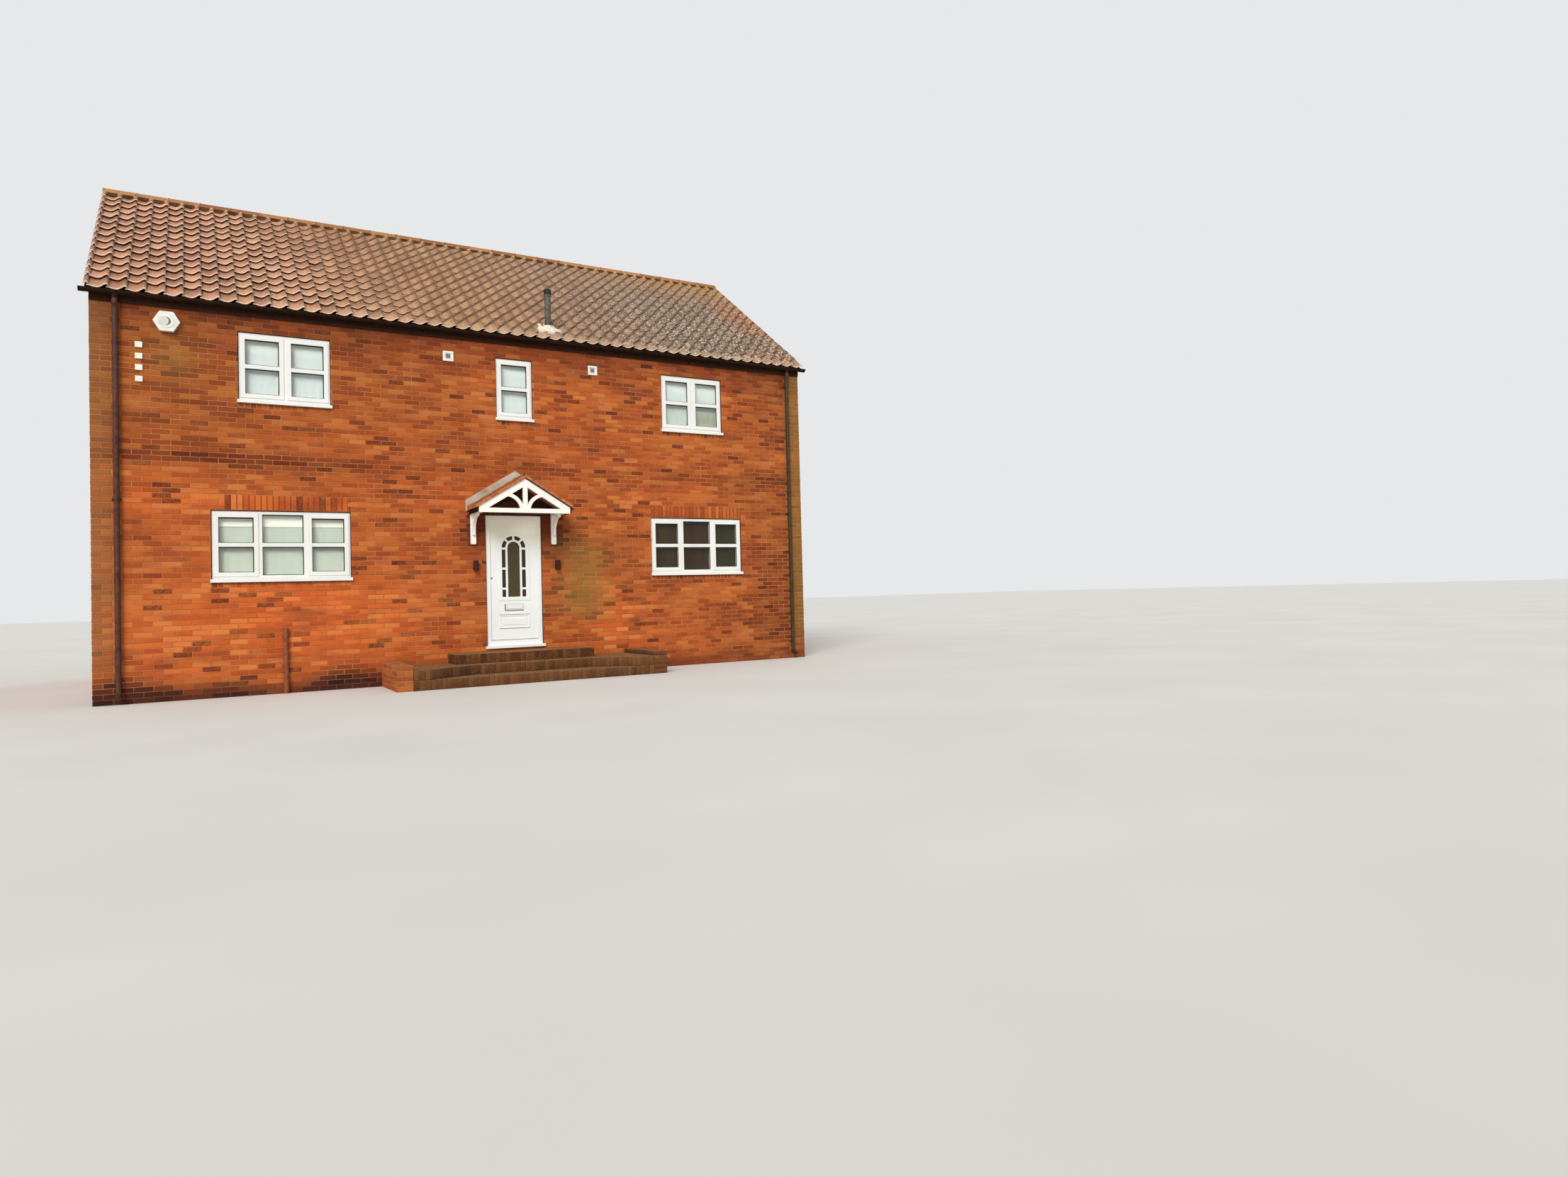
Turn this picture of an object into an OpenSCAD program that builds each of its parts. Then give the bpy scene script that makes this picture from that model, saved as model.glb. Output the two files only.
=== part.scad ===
// Detached two-storey brick house with a gabled tiled roof, a front door under a small gabled canopy,
// and a flight of brick steps. All sizes are in millimetres. The house is drawn from its own front left
// corner (x along the front, y into the house, z up from the lowest ground) and then moved so that its
// origin is the middle of the ground that it covers.

/* [House] */
// Length along the front
house_l = 11130; // [10200:10:12500]
// Depth from the front wall to the rear wall
house_d = 7640; // [6800:10:9000]
// Thickness of the outer walls
wall_t = 300; // [220:5:360]

/* [Levels] */
// Top of the ground floor and foot of the front door
ground_floor_z = 490; // [470:5:540]
// Thickness of the ground floor
ground_floor_t = 150; // [100:5:200]
// Top of the first floor
first_floor_z = 3350; // [3150:5:3500]
// Thickness of the first floor
first_floor_t = 250; // [180:5:320]
// Foot of the lower windows
lower_sill_z = 1650; // [1550:5:1700]
// Foot of the upper windows
upper_sill_z = 4275; // [4100:5:4325]
// Lower edge of the roof tiles at the eaves
eaves_z = 5700; // [5650:1:5950]

/* [Roof] */
// Slope of the roof in degrees
roof_pitch = 33.7; // [28:0.1:38]
// Thickness of battens and tiles, square to the slope
roof_t = 70; // [50:1:100]
// Rise from one course of tiles to the next
tile_step = 22; // [10:1:30]
// Number of courses of tiles on a slope
tile_courses = 14; // [10:1:20]
// Reach of the tiles past the front and rear walls
eaves_over = 85; // [65:1:100]
// Reach of the tiles past the gable walls
verge_over = 57; // [30:1:70]
// Outer radius of the half-round ridge tiles
ridge_r = 130; // [100:1:150]
// Length of one ridge tile
ridge_tile_l = 450; // [350:5:600]
// Height of the raised rim where one ridge tile laps the next
ridge_lap = 12; // [5:1:15]
// Length of that rim
ridge_rim = 72; // [50:1:110]
// Height of the ridge tiles above the peak of the slopes
ridge_lift = 35; // [0:1:60]

/* [Eaves and rainwater] */
// Height of the fascia board below the tile edge
fascia_h = 150; // [130:5:200]
// Thickness of the fascia board
fascia_t = 25; // [18:1:35]
// Outer radius of the half-round gutter
gutter_r = 56; // [45:1:65]
// Wall thickness of the gutter
gutter_t = 3; // [2:0.5:5]
// Reach of the gutter past the gable walls
gutter_over = 112; // [75:1:140]
// Width of a gutter bracket
gutter_clip_w = 30; // [20:1:40]
// Number of gutter brackets on each side
gutter_clips = 11; // [8:1:15]
// Drop from the tile edge to the gutter's rim
gutter_drop = 12; // [5:1:30]
// Outer diameter of the downpipes
downpipe_d = 68; // [55:1:80]
// Gap between a downpipe and the wall
downpipe_gap = 22; // [15:1:40]
// Distance from a house corner to the middle of its downpipe
downpipe_x = 285; // [200:5:400]
// Height of the downpipe's foot above the ground
downpipe_foot_z = 160; // [120:5:300]
// Height over which the swan neck goes back to the wall
neck_drop = 75; // [60:5:130]
// Length of the shoe at a downpipe's foot
shoe_l = 130; // [90:5:160]
// Height of a downpipe clip
clip_h = 30; // [20:1:40]

/* [Windows] */
// Height of every window with its sill
win_h = 1050; // [950:5:1150]
// Width of the two lower windows, with three lights
wide_win_w = 1800; // [1600:5:2000]
// Width of the two outer upper windows, with two lights
mid_win_w = 1200; // [1050:5:1350]
// Width of the upper window over the door, with one light
small_win_w = 600; // [500:5:700]
// Middle of the lower left window, from the left house corner
lower_left_x = 2260; // [2000:1:2500]
// Middle of the lower right window, from the right house corner
lower_right_x = 2228; // [2000:1:2500]
// Middle of the upper left window, from the left house corner
upper_left_x = 2315; // [2000:1:2500]
// Middle of the upper right window, from the right house corner
upper_right_x = 2274; // [2000:1:2500]
// Middle of the upper window over the door, to the right of the door's middle
small_win_x = 54; // [-50:1:100]
// Distance from the wall face back to the window frames
win_set = 25; // [15:1:60]
// Depth of the window and door frames
frame_d = 70; // [60:1:90]
// Width of the outer frame's face
frame_face = 43; // [38:1:60]
// Width of the mullion between two lights
mullion_face = 60; // [40:1:70]
// Width of an opening light's sash face
sash_face = 47; // [35:1:60]
// How far a sash stands out from its frame
sash_proud = 12; // [5:1:18]
// Height of the glazing bar across a light
bar_face = 58; // [30:1:70]
// Thickness of the double glazing
glass_t = 24; // [16:1:28]
// Height of the dark packing strip between a frame's head and the brickwork
head_gap = 14; // [6:1:20]
// Distance from a frame's face back to that strip
head_in = 14; // [8:1:20]
// Height of the window sill
sill_h = 55; // [40:1:70]
// Fall of the sill's top from the frame to its front edge
sill_fall = 10; // [4:1:15]
// How far the sill stands out from the wall
sill_proud = 40; // [30:1:70]
// Length of the sill's horn past each side of the opening
sill_horn = 14; // [8:1:60]

/* [Front door] */
// Middle of the front door, from the left house corner
door_x = 5590; // [5450:1:5750]
// Width of the door frame
door_w = 915; // [850:5:1000]
// Width of the door frame's jambs and head
jamb_face = 62; // [50:1:70]
// Height of the door frame's bottom member with its sill
threshold_h = 130; // [100:1:150]
// Height of the sill in front of that member
door_sill_h = 45; // [30:1:60]
// Length of that sill past each side of the doorway
door_sill_horn = 25; // [10:1:40]
// Gap round the door leaf
door_gap = 8; // [7:0.5:9]
// Thickness of the frame's stop in front of the leaf
stop_t = 12; // [8:1:14]
// How far the stop covers the leaf's edge
stop_cover = 6; // [3:1:10]
// Thickness of the door leaf
leaf_t = 48; // [40:1:48]
// Width of the arched glass in the leaf
arch_w = 386; // [320:2:420]
// Foot of the arched glass above the ground floor
arch_foot = 845; // [830:5:870]
// Height of the arched glass
arch_h = 1015; // [950:5:1050]
// Width of the border panes round the arched glass
border_w = 78; // [60:1:90]
// Width of the bars between the border panes
came_w = 34; // [20:1:40]
// Height of the lowest bar across the border, above the foot of the glass
came_first = 138; // [110:1:170]
// Rise from one such bar to the next
came_step = 334; // [300:1:350]
// Width of the moulded rim round the arched glass
rim_w = 60; // [40:1:70]
// How far that rim stands out from the leaf
rim_proud = 7; // [3:1:10]
// Thickness of the bars between the border panes
came_t = 10; // [6:1:12]
// Thickness of the door's glass
door_glass_t = 20; // [12:1:24]
// Width of the letter plate
letter_w = 290; // [240:5:320]
// Height of the letter plate
letter_h = 98; // [70:1:110]
// Foot of the letter plate above the ground floor
letter_z = 627; // [615:1:635]
// Thickness of the letter plate
letter_t = 8; // [5:1:10]
// Width of the rim round the letter plate's flap
letter_rim = 14; // [8:1:22]
// Width of the gap round that flap
flap_gap = 4; // [2:1:6]
// Width of the moulded panel in the foot of the leaf
panel_w = 490; // [440:5:540]
// Height of that panel
panel_h = 220; // [180:5:240]
// Foot of that panel above the ground floor
panel_z = 325; // [310:5:345]
// Width of the moulding round the panel
panel_rim = 22; // [12:1:30]
// How far the panel's moulding and its field stand out from the leaf
panel_proud = 7; // [3:1:10]
// Distance from the panel's edge in to its raised field
field_in = 56; // [40:1:70]
// Distance from the leaf's foot and top to the nearer hinge
hinge_in = 180; // [120:5:260]
// Distance from the leaf's edge to the middle of the lock
lock_in = 26; // [22:1:50]
// Height of the lock above the ground floor
lock_z = 1160; // [1000:1:1300]
// Radius of the lock's cylinder
lock_r = 15; // [12:1:18]
// Radius of a hinge's knuckle
knuckle_r = 8; // [7:0.5:9]
// Height of one half of a hinge's knuckle
knuckle_h = 45; // [35:1:60]
// Radius of a hinge's pin
pin_r = 4; // [3:0.5:5]
// Width of a hinge's flag on the leaf or the jamb
flag_w = 44; // [30:1:50]
// Thickness of a hinge's flag
flag_t = 3; // [2:0.5:4]

/* [Canopy] */
// Width of the truss at the canopy's front
truss_w = 1450; // [1420:5:1600]
// Distance from the wall to the front face of the truss
truss_reach = 630; // [550:5:700]
// Height of the truss's bottom edge
truss_z = 2688; // [2680:1:2740]
// Height of the cut end of the rafters with the tie
truss_end_h = 97; // [85:1:115]
// Height of the truss from its bottom edge to its peak
truss_h = 557; // [520:1:600]
// Width of the rafters, square to their length
rafter_w = 102; // [80:1:110]
// Width of the tie beam and the king post
tie_w = 72; // [60:1:80]
// Width of the curved struts
strut_w = 56; // [40:1:65]
// Radius of the curved struts
strut_r = 257; // [235:1:280]
// Distance from the truss's middle to the foot of a curved strut, at its middle
strut_foot = 52; // [35:1:60]
// Thickness of the truss timbers
truss_t = 45; // [35:1:60]
// Thickness of the canopy's roof, square to its slope
canopy_t = 66; // [40:1:70]
// Middle of the truss, to the right of the door's middle
canopy_shift = 32; // [-20:1:60]
// Reach of the canopy's roof past the truss, to the front
canopy_over = 20; // [10:1:60]
// Reach of the canopy's roof past the truss's ends
canopy_side = 45; // [30:1:60]
// Number of courses of tiles on each slope of the canopy
canopy_courses = 4; // [2:1:6]
// Rise from one of those courses to the next
canopy_step = 9; // [4:1:14]
// Radius of the capping along the canopy's ridge
cap_r = 40; // [30:1:50]
// Thickness of the boards under the sides of the canopy
side_board_t = 20; // [14:1:28]
// Height of those boards' foot above the truss's bottom edge
side_board_up = 8; // [0:1:30]
// Height of the mortar flashing on the wall over the canopy
flashing_h = 112; // [80:1:170]
// Reach of that flashing past the truss's ends
flashing_side = 66; // [45:1:90]
// Thickness of the mortar flashing
flashing_t = 26; // [15:1:35]
// Height of the brackets' wall posts
bracket_h = 530; // [450:5:600]
// Distance from the truss's right end in to the right bracket
bracket_inset = 64; // [0:1:100]
// Width of the brackets
bracket_w = 82; // [70:1:95]
// Radius of the rounded corners at a post's foot
foot_r = 18; // [8:1:30]
// Depth of the brackets' posts and arms
bracket_t = 48; // [40:1:60]
// Thickness of the brackets' curved braces
brace_t = 44; // [30:1:60]
// Reach of a curved brace along its post and its arm
brace_reach = 333; // [250:1:380]
// Depth to which a brace is let into its post and arm
brace_in = 10; // [5:1:20]

/* [Steps] */
// Middle of the steps, to the right of the door's middle
steps_shift = 22; // [-40:1:60]
// Half of the width of the steps with their piers
steps_half = 2060; // [1900:10:2200]
// Distance from the wall to the front of the steps
steps_reach = 1400; // [1250:10:1500]
// Height of one step
step_h = 150; // [120:5:160]
// Height of the landing
landing_z = 450; // [400:5:460]
// Depth of the landing from the wall
landing_d = 600; // [500:10:650]
// Half of the landing's width
landing_half = 1100; // [900:10:1200]
// Height of the piers at the ends of the steps
pier_z = 375; // [310:5:440]
// Width of a pier
pier_w = 225; // [200:5:240]
// Depth from the wall to the front of the middle step, between its wings
middle_d = 920; // [850:10:1000]
// Half of the straight length of the middle step
middle_half = 950; // [800:10:1050]
// Half of the length of the lower step at its front
lower_half = 1600; // [1450:10:1650]

/* [Small pieces] */
// Diameter of the soil vent pipe
vent_pipe_d = 106; // [80:1:120]
// Top of the soil vent pipe above the roof slope, at its middle
vent_pipe_h = 640; // [500:5:900]
// Middle of the soil vent pipe, from the left house corner
vent_pipe_x = 6290; // [5900:5:6700]
// Distance of the soil vent pipe behind the front wall face
vent_pipe_y = 210; // [180:5:600]
// Height of the soil vent pipe's dark head
vent_head_h = 95; // [60:1:140]
// How far that head is wider than the pipe, on each side
vent_head_lip = 9; // [4:1:14]
// Side of the sheet round the soil vent pipe's foot
vent_sheet = 310; // [260:5:360]
// Height of the mortar round the pipe on that sheet
vent_skirt = 60; // [30:1:90]
// Middle of the alarm box, from the left house corner
alarm_x = 868; // [750:1:1000]
// Height of the middle of the alarm box
alarm_z = 5345; // [5250:1:5360]
// Width of the alarm box across its flats
alarm_w = 278; // [220:1:300]
// Depth of the alarm box
alarm_t = 70; // [50:1:90]
// Diameter of the round raised face on the alarm box
alarm_face_d = 190; // [140:1:220]
// Middle of the wall plates, from the left house corner
plate_x = 545; // [480:1:620]
// Height of the middle of the top wall plate
plate_z = 4990; // [4850:1:5100]
// Drop from one wall plate to the next
plate_step = 160; // [120:1:180]
// Width of the wall plates
plate_w = 86; // [70:1:120]
// Height of the wall plates
plate_h = 80; // [60:1:100]
// Thickness of the wall plates
plate_t = 25; // [15:1:35]
// Middle of the left vent cover, to the left of the door's middle
vent_cover_left = 985; // [900:1:1100]
// Middle of the right vent cover, to the right of the door's middle
vent_cover_right = 1394; // [1300:1:1500]
// Height of the middle of the vent covers
vent_cover_z = 5263; // [5150:1:5300]
// Side of the square vent covers
vent_cover = 160; // [130:1:180]
// Thickness of the vent covers
vent_cover_t = 20; // [14:1:30]
// Width of the vent covers' plain rim
vent_rim = 30; // [20:1:40]
// Number of slats in a vent cover
vent_slats = 4; // [3:1:6]
// Middle of the left wall light, to the left of the door's middle
light_left = 624; // [560:1:700]
// Middle of the right wall light, to the right of the door's middle
light_right = 705; // [650:1:800]
// Height of the wall lights' middle
light_z = 1855; // [1700:5:1950]
// Height of the wall lights
light_h = 172; // [140:1:200]
// Diameter of the wall lights' round body
light_d = 80; // [60:1:90]
// Thickness of a wall light's back plate
light_plate_t = 16; // [10:1:20]
// Gap between that plate and the round body
light_gap = 8; // [4:1:14]
// Middle of the upright pipe beside the left window, from the left house corner
standpipe_x = 2270; // [2150:1:2400]
// Top of the upright pipe
standpipe_z = 962; // [800:1:1050]
// Diameter of the upright pipe
standpipe_d = 68; // [55:1:90]
// Gap between the upright pipe and the wall
standpipe_gap = 12; // [8:1:20]

/* [Hidden] */
$fn = 48;

// Clearance that seats one piece against another without touching.
seat = 0.3;
// Overlap by which a cutting shape passes the face that it cuts.
pass = 10;
// The same clearance under the sloping roof, measured upright.
roof_seat = seat / cos(roof_pitch);

// Heights that follow from the levels.
lower_head_z = lower_sill_z + win_h;
door_head_z = lower_head_z;
slope = tan(roof_pitch);
// Height of the underside of the roof slope over the front wall face.
under_z = eaves_z + eaves_over * slope;
// Length of the slope, along its underside, to a height h above that underside.
function slope_len(h) = (house_d / 2 + eaves_over + h * sin(roof_pitch)) / cos(roof_pitch);
tile_gauge = slope_len(roof_t - tile_step) / tile_courses;
fascia_z = eaves_z - fascia_h;

// Gutter line, measured from a wall face.
gutter_y = fascia_t + gutter_t + gutter_r;
gutter_z = eaves_z - gutter_drop;
// Length of a gutter's outlet below its trough, and the collar round every rainwater joint.
outlet_h = 45;
collar = 5;
downpipe_y = downpipe_d / 2 + downpipe_gap;

// Windows as [middle from the left corner, foot, width, lights].
lower_windows = [[lower_left_x, lower_sill_z, wide_win_w, 3],
    [house_l - lower_right_x, lower_sill_z, wide_win_w, 3]];
upper_windows = [[upper_left_x, upper_sill_z, mid_win_w, 2],
    [door_x + small_win_x, upper_sill_z, small_win_w, 1],
    [house_l - upper_right_x, upper_sill_z, mid_win_w, 2]];
// Height of a window's frame between its sill and the packing strip.
win_frame_h = win_h - sill_h - head_gap;

// Front door, worked out from the outside in.
door_l = door_x - door_w / 2;
door_r = door_x + door_w / 2;
frame_y = win_set;
leaf_y = frame_y + stop_t + 5;
leaf_l = door_l + jamb_face + door_gap;
leaf_r = door_r - jamb_face - door_gap;
leaf_z = ground_floor_z + threshold_h + door_gap;
leaf_top = door_head_z - head_gap - jamb_face - door_gap;
leaf_back = leaf_y + leaf_t;
frame_back = frame_y + frame_d;

// The pin stands in the gap between leaf and jamb, just inside the frame's back face.
hinge_x = leaf_r + door_gap / 2;
hinge_y = frame_back + 1 + knuckle_r;
hinge_heights = [leaf_z + hinge_in, (leaf_z + leaf_top) / 2 - knuckle_h, leaf_top - hinge_in - 2 * knuckle_h];
arch_z = ground_floor_z + arch_foot;
came_y = leaf_y + 2;
arch_r = arch_w / 2;
spring_z = arch_z + arch_h - arch_r;

// Canopy slope, from the truss's own outline.
canopy_run = truss_w / 2;
canopy_rise = truss_h - truss_end_h;
canopy_pitch = atan(canopy_rise / canopy_run);
canopy_peak = truss_z + truss_h;
canopy_x = door_x + canopy_shift;
canopy_half = canopy_run + canopy_side;
steps_x = door_x + steps_shift;

// Reach of the whole house, for its origin.
y_front = -max(steps_reach, truss_reach + canopy_over);
y_rear = house_d + gutter_y + gutter_r;

module place() {
    translate([-house_l / 2, -(y_front + y_rear) / 2, 0]) children();
}

// Turns a shape drawn for the front of the house round to its rear.
module rear_side() {
    translate([house_l, house_d, 0]) rotate([0, 0, 180]) children();
}

// Extrudes an outline of (y, z) points from x0 to x1.
module along_x(x0, x1) {
    translate([x0, 0, 0]) rotate([90, 0, 90]) linear_extrude(x1 - x0) children();
}

// Extrudes an outline of (x, z) points from y0 back to y1.
module along_y(y0, y1) {
    translate([0, y1, 0]) rotate([90, 0, 0]) linear_extrude(y1 - y0) children();
}

// Top of the masonry under the roof, a distance y in from a wall's outer face.
function wall_top(y) = under_z + y * slope - roof_seat;

// Outline of a front or rear wall, with its top cut to the roof's slope.
module wall_outline(z0) {
    polygon([[0, z0], [wall_t, z0], [wall_t, wall_top(wall_t)], [0, wall_top(0)]]);
}

// Cuts the openings of a list of windows through a wall.
module window_cuts(windows) {
    for (w = windows)
        translate([w[0] - w[2] / 2, -pass, w[1]]) cube([w[2], wall_t + 2 * pass, win_h]);
}

module front_wall_left() {
    color("#b5532c") place() difference() {
        along_x(0, door_l) wall_outline(0);
        window_cuts([lower_windows[0], upper_windows[0]]);
    }
}

module front_wall_right() {
    color("#b5532c") place() difference() {
        along_x(door_r, house_l) wall_outline(0);
        window_cuts([lower_windows[1], upper_windows[2]]);
    }
}

module front_wall_over_door() {
    color("#b5532c") place() difference() {
        along_x(door_l, door_r) wall_outline(door_head_z);
        window_cuts([upper_windows[1]]);
    }
}

module front_wall_under_door() {
    color("#8a3f25") place() translate([door_l, 0, 0]) cube([door_w, wall_t, ground_floor_z]);
}

module rear_wall() {
    color("#b5532c") place() rear_side() difference() {
        along_x(0, house_l) wall_outline(0);
        window_cuts(concat(lower_windows, upper_windows));
    }
}

// A gable wall stands between the front and rear walls and rises to the roof.
module gable_wall(x0) {
    place() along_x(x0, x0 + wall_t)
        polygon([[wall_t, 0], [house_d - wall_t, 0], [house_d - wall_t, wall_top(wall_t)],
            [house_d / 2, wall_top(house_d / 2)], [wall_t, wall_top(wall_t)]]);
}

module left_gable_wall() {
    color("#b0502b") gable_wall(0);
}

module right_gable_wall() {
    color("#b0502b") gable_wall(house_l - wall_t);
}

module floor_slab(top, t) {
    place() translate([wall_t, wall_t, top - t]) cube([house_l - 2 * wall_t, house_d - 2 * wall_t, t]);
}

module ground_floor() {
    color("#a8a49c") floor_slab(ground_floor_z, ground_floor_t);
}

module first_floor() {
    color("#c9a878") floor_slab(first_floor_z, first_floor_t);
}

// A point of the slope's outline: s along the underside from the eaves, h square to it.
function on_slope(s, h) = [-eaves_over + s * cos(roof_pitch) - h * sin(roof_pitch),
    eaves_z + s * sin(roof_pitch) + h * cos(roof_pitch)];

// Outline of a roof slope: a flat underside, and a top that steps down at each course of tiles.
slope_points = concat(
    [on_slope(slope_len(0), 0), on_slope(0, 0)],
    [for (i = [0 : tile_courses - 1], k = [0, 1]) on_slope((i + k) * tile_gauge, roof_t - k * tile_step)]);

module roof_slope() {
    along_x(-verge_over, house_l + verge_over) polygon(slope_points);
}

module front_roof_slope() {
    color("#a3755a") place() roof_slope();
}

module rear_roof_slope() {
    color("#a3755a") place() rear_side() roof_slope();
}

// Half-round ridge tiles, each with a raised rim where it laps the next, bedded down on both slopes.
ridge_z = on_slope(slope_len(roof_t), roof_t)[1] + ridge_lift;

module ridge_tiles() {
    count = round((house_l + 2 * verge_over) / ridge_tile_l);
    tile = (house_l + 2 * verge_over) / count;
    color("#a0603c") place() difference() {
        translate([-verge_over, house_d / 2, ridge_z - ridge_r]) rotate([0, 90, 0]) {
            cylinder(r = ridge_r - ridge_lap, h = tile * count);
            for (i = [0 : count - 1])
                translate([0, 0, i * tile]) cylinder(r = ridge_r, h = ridge_rim);
        }
        along_x(-verge_over - pass, house_l + verge_over + pass) ridge_underside();
    }
}

// Everything below the top of the last course of tiles on both slopes.
module ridge_underside() {
    low = on_slope((tile_courses - 1) * tile_gauge, roof_t);
    high = on_slope(tile_courses * tile_gauge, roof_t - tile_step);
    dip = (high[1] - low[1]) / (high[0] - low[0]);
    half = 2 * ridge_r;
    top = high[1] + 2 * seat;
    translate([house_d / 2, top])
        polygon([[0, 0], [-half, -dip * half], [-half, -3 * ridge_r], [half, -3 * ridge_r],
            [half, -dip * half]]);
}

module fascia() {
    along_x(0, house_l)
        polygon([[0, fascia_z], [0, wall_top(0)], [-fascia_t, wall_top(-fascia_t)], [-fascia_t, fascia_z]]);
}

module fascias() {
    color("#2b2422") place() {
        fascia();
        rear_side() fascia();
        canopy_side_boards();
    }
}

// Half-round gutter with stop ends, brackets on the fascia, and an outlet over each downpipe.
module gutter() {
    outlets = [downpipe_x, house_l - downpipe_x];
    outlet_z = gutter_z - gutter_r - outlet_h;
    length = house_l + 2 * gutter_over;
    difference() {
        union() {
            translate([-gutter_over, -gutter_y, gutter_z]) rotate([0, 90, 0])
                cylinder(r = gutter_r, h = length);
            for (i = [0 : gutter_clips - 1])
                translate([gutter_clip_w + i * (house_l - 3 * gutter_clip_w) / (gutter_clips - 1), 0, 0])
                    gutter_bracket();
            for (x = outlets)
                translate([x, -gutter_y, outlet_z])
                    cylinder(r = downpipe_d / 2 + collar, h = outlet_h + gutter_r / 3);
        }
        translate([-gutter_over + gutter_t, -gutter_y, gutter_z]) rotate([0, 90, 0])
            cylinder(r = gutter_r - gutter_t, h = length - 2 * gutter_t);
        translate([-gutter_over - pass, -gutter_y - 2 * gutter_r, gutter_z])
            cube([length + 2 * pass, 3 * gutter_r, 2 * gutter_r]);
        for (x = outlets)
            translate([x, -gutter_y, outlet_z - pass])
                cylinder(r = downpipe_d / 2 - collar, h = outlet_h + gutter_r);
    }
}

module gutter_bracket() {
    translate([0, -fascia_t - gutter_t, gutter_z - gutter_r]) cube([gutter_clip_w, gutter_t, gutter_r]);
    translate([0, -gutter_y, gutter_z]) rotate([0, 90, 0]) cylinder(r = gutter_r + gutter_t, h = gutter_clip_w);
}

module gutters() {
    color("#23211f") place() {
        gutter();
        rear_side() gutter();
    }
}

// Downpipe: a swan neck from the outlet back to the wall, a straight pipe with clips, and a shoe.
module downpipe(x) {
    top_z = gutter_z - gutter_r - outlet_h;
    neck_z = top_z - downpipe_d;
    bend_z = neck_z - neck_drop;
    run = gutter_y - downpipe_y;
    r = downpipe_d / 2;
    translate([x, 0, 0]) {
        translate([0, -gutter_y, neck_z]) cylinder(r = r, h = top_z - neck_z);
        translate([0, -gutter_y, neck_z]) sphere(r = r + collar);
        translate([0, -downpipe_y, bend_z]) rotate([atan(run / (neck_z - bend_z)), 0, 0])
            cylinder(r = r, h = norm([run, neck_z - bend_z]));
        translate([0, -downpipe_y, bend_z]) sphere(r = r + collar);
        translate([0, -downpipe_y, downpipe_foot_z]) cylinder(r = r, h = bend_z - downpipe_foot_z);
        translate([0, -downpipe_y, downpipe_foot_z]) sphere(r = r + collar);
        translate([0, -downpipe_y, downpipe_foot_z]) rotate([120, 0, 0]) cylinder(r = r, h = shoe_l);
        for (z = [downpipe_foot_z + 5 * clip_h, (downpipe_foot_z + bend_z) / 2, bend_z - 5 * clip_h]) {
            translate([0, -downpipe_y, z]) cylinder(r = r + collar - 1, h = clip_h);
            translate([-downpipe_d * 0.8, -downpipe_gap, z]) cube([downpipe_d * 1.6, downpipe_gap, clip_h]);
        }
    }
}

module downpipes() {
    color("#23211f") place() {
        for (x = [downpipe_x, house_l - downpipe_x]) {
            downpipe(x);
            rear_side() downpipe(x);
        }
    }
}

// Vent pipe with a domed cap, standing on a sheet that lies on the tiles.
module soil_vent_pipe() {
    base = eaves_z + (vent_pipe_y + eaves_over) * slope + roof_t / cos(roof_pitch);
    r = vent_pipe_d / 2;
    head_r = r + vent_head_lip;
    color("#8f8b84") place() translate([vent_pipe_x, vent_pipe_y, base]) {
        rotate([roof_pitch, 0, 0]) translate([-vent_sheet / 2, -vent_sheet / 2, 0])
            cube([vent_sheet, vent_sheet, 6]);
        difference() {
            union() {
                translate([0, 0, -2 * r]) cylinder(r = r, h = vent_pipe_h + 2 * r);
                translate([0, 0, -2 * r]) cylinder(r1 = 2.2 * r, r2 = r, h = 2 * r + vent_skirt);
            }
            rotate([roof_pitch, 0, 0]) translate([-vent_sheet, -vent_sheet, -vent_sheet])
                cube([2 * vent_sheet, 2 * vent_sheet, vent_sheet]);
        }
        translate([0, 0, vent_pipe_h - vent_head_h]) cylinder(r = head_r, h = vent_head_h);
        translate([0, 0, vent_pipe_h]) intersection() {
            sphere(r = head_r);
            cylinder(r = 2 * head_r, h = head_r / 2);
        }
    }
}

// Clear openings of a window's lights, as [left, width] from the window's own left edge.
function light_w(w, n) = (w - 2 * frame_face - (n - 1) * mullion_face) / n;
function light_x(w, n, i) = frame_face + i * (light_w(w, n) + mullion_face);
// The middle one of three lights is fixed, and every other light has a sash.
function has_sash(n, i) = !(n == 3 && i == 1);
function sash_in(n, i) = has_sash(n, i) ? sash_face : 0;

// Frame of a window, from its own left edge and the top of its sill.
module window_frame(w, n) {
    h = win_frame_h;
    translate([0, head_in, h]) cube([w, frame_d - head_in, head_gap]);
    lw = light_w(w, n);
    lh = h - 2 * frame_face;
    difference() {
        cube([w, frame_d, h]);
        for (i = [0 : n - 1])
            translate([light_x(w, n, i), -pass, frame_face]) cube([lw, frame_d + 2 * pass, lh]);
    }
    for (i = [0 : n - 1]) {
        if (has_sash(n, i)) {
            translate([light_x(w, n, i), 0, frame_face]) difference() {
                translate([-sash_proud, -sash_proud, -sash_proud])
                    cube([lw + 2 * sash_proud, sash_proud, lh + 2 * sash_proud]);
                translate([sash_face, -pass - sash_proud, sash_face])
                    cube([lw - 2 * sash_face, 2 * pass + sash_proud, lh - 2 * sash_face]);
            }
            translate([light_x(w, n, i), 0, frame_face]) difference() {
                cube([lw, frame_d - 10, lh]);
                translate([sash_face, -pass, sash_face])
                    cube([lw - 2 * sash_face, frame_d + 2 * pass, lh - 2 * sash_face]);
            }
        }
        translate([light_x(w, n, i), -(has_sash(n, i) ? sash_proud / 2 : 0), h / 2 - bar_face / 2])
            cube([lw, frame_d / 2, bar_face]);
    }
}

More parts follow.
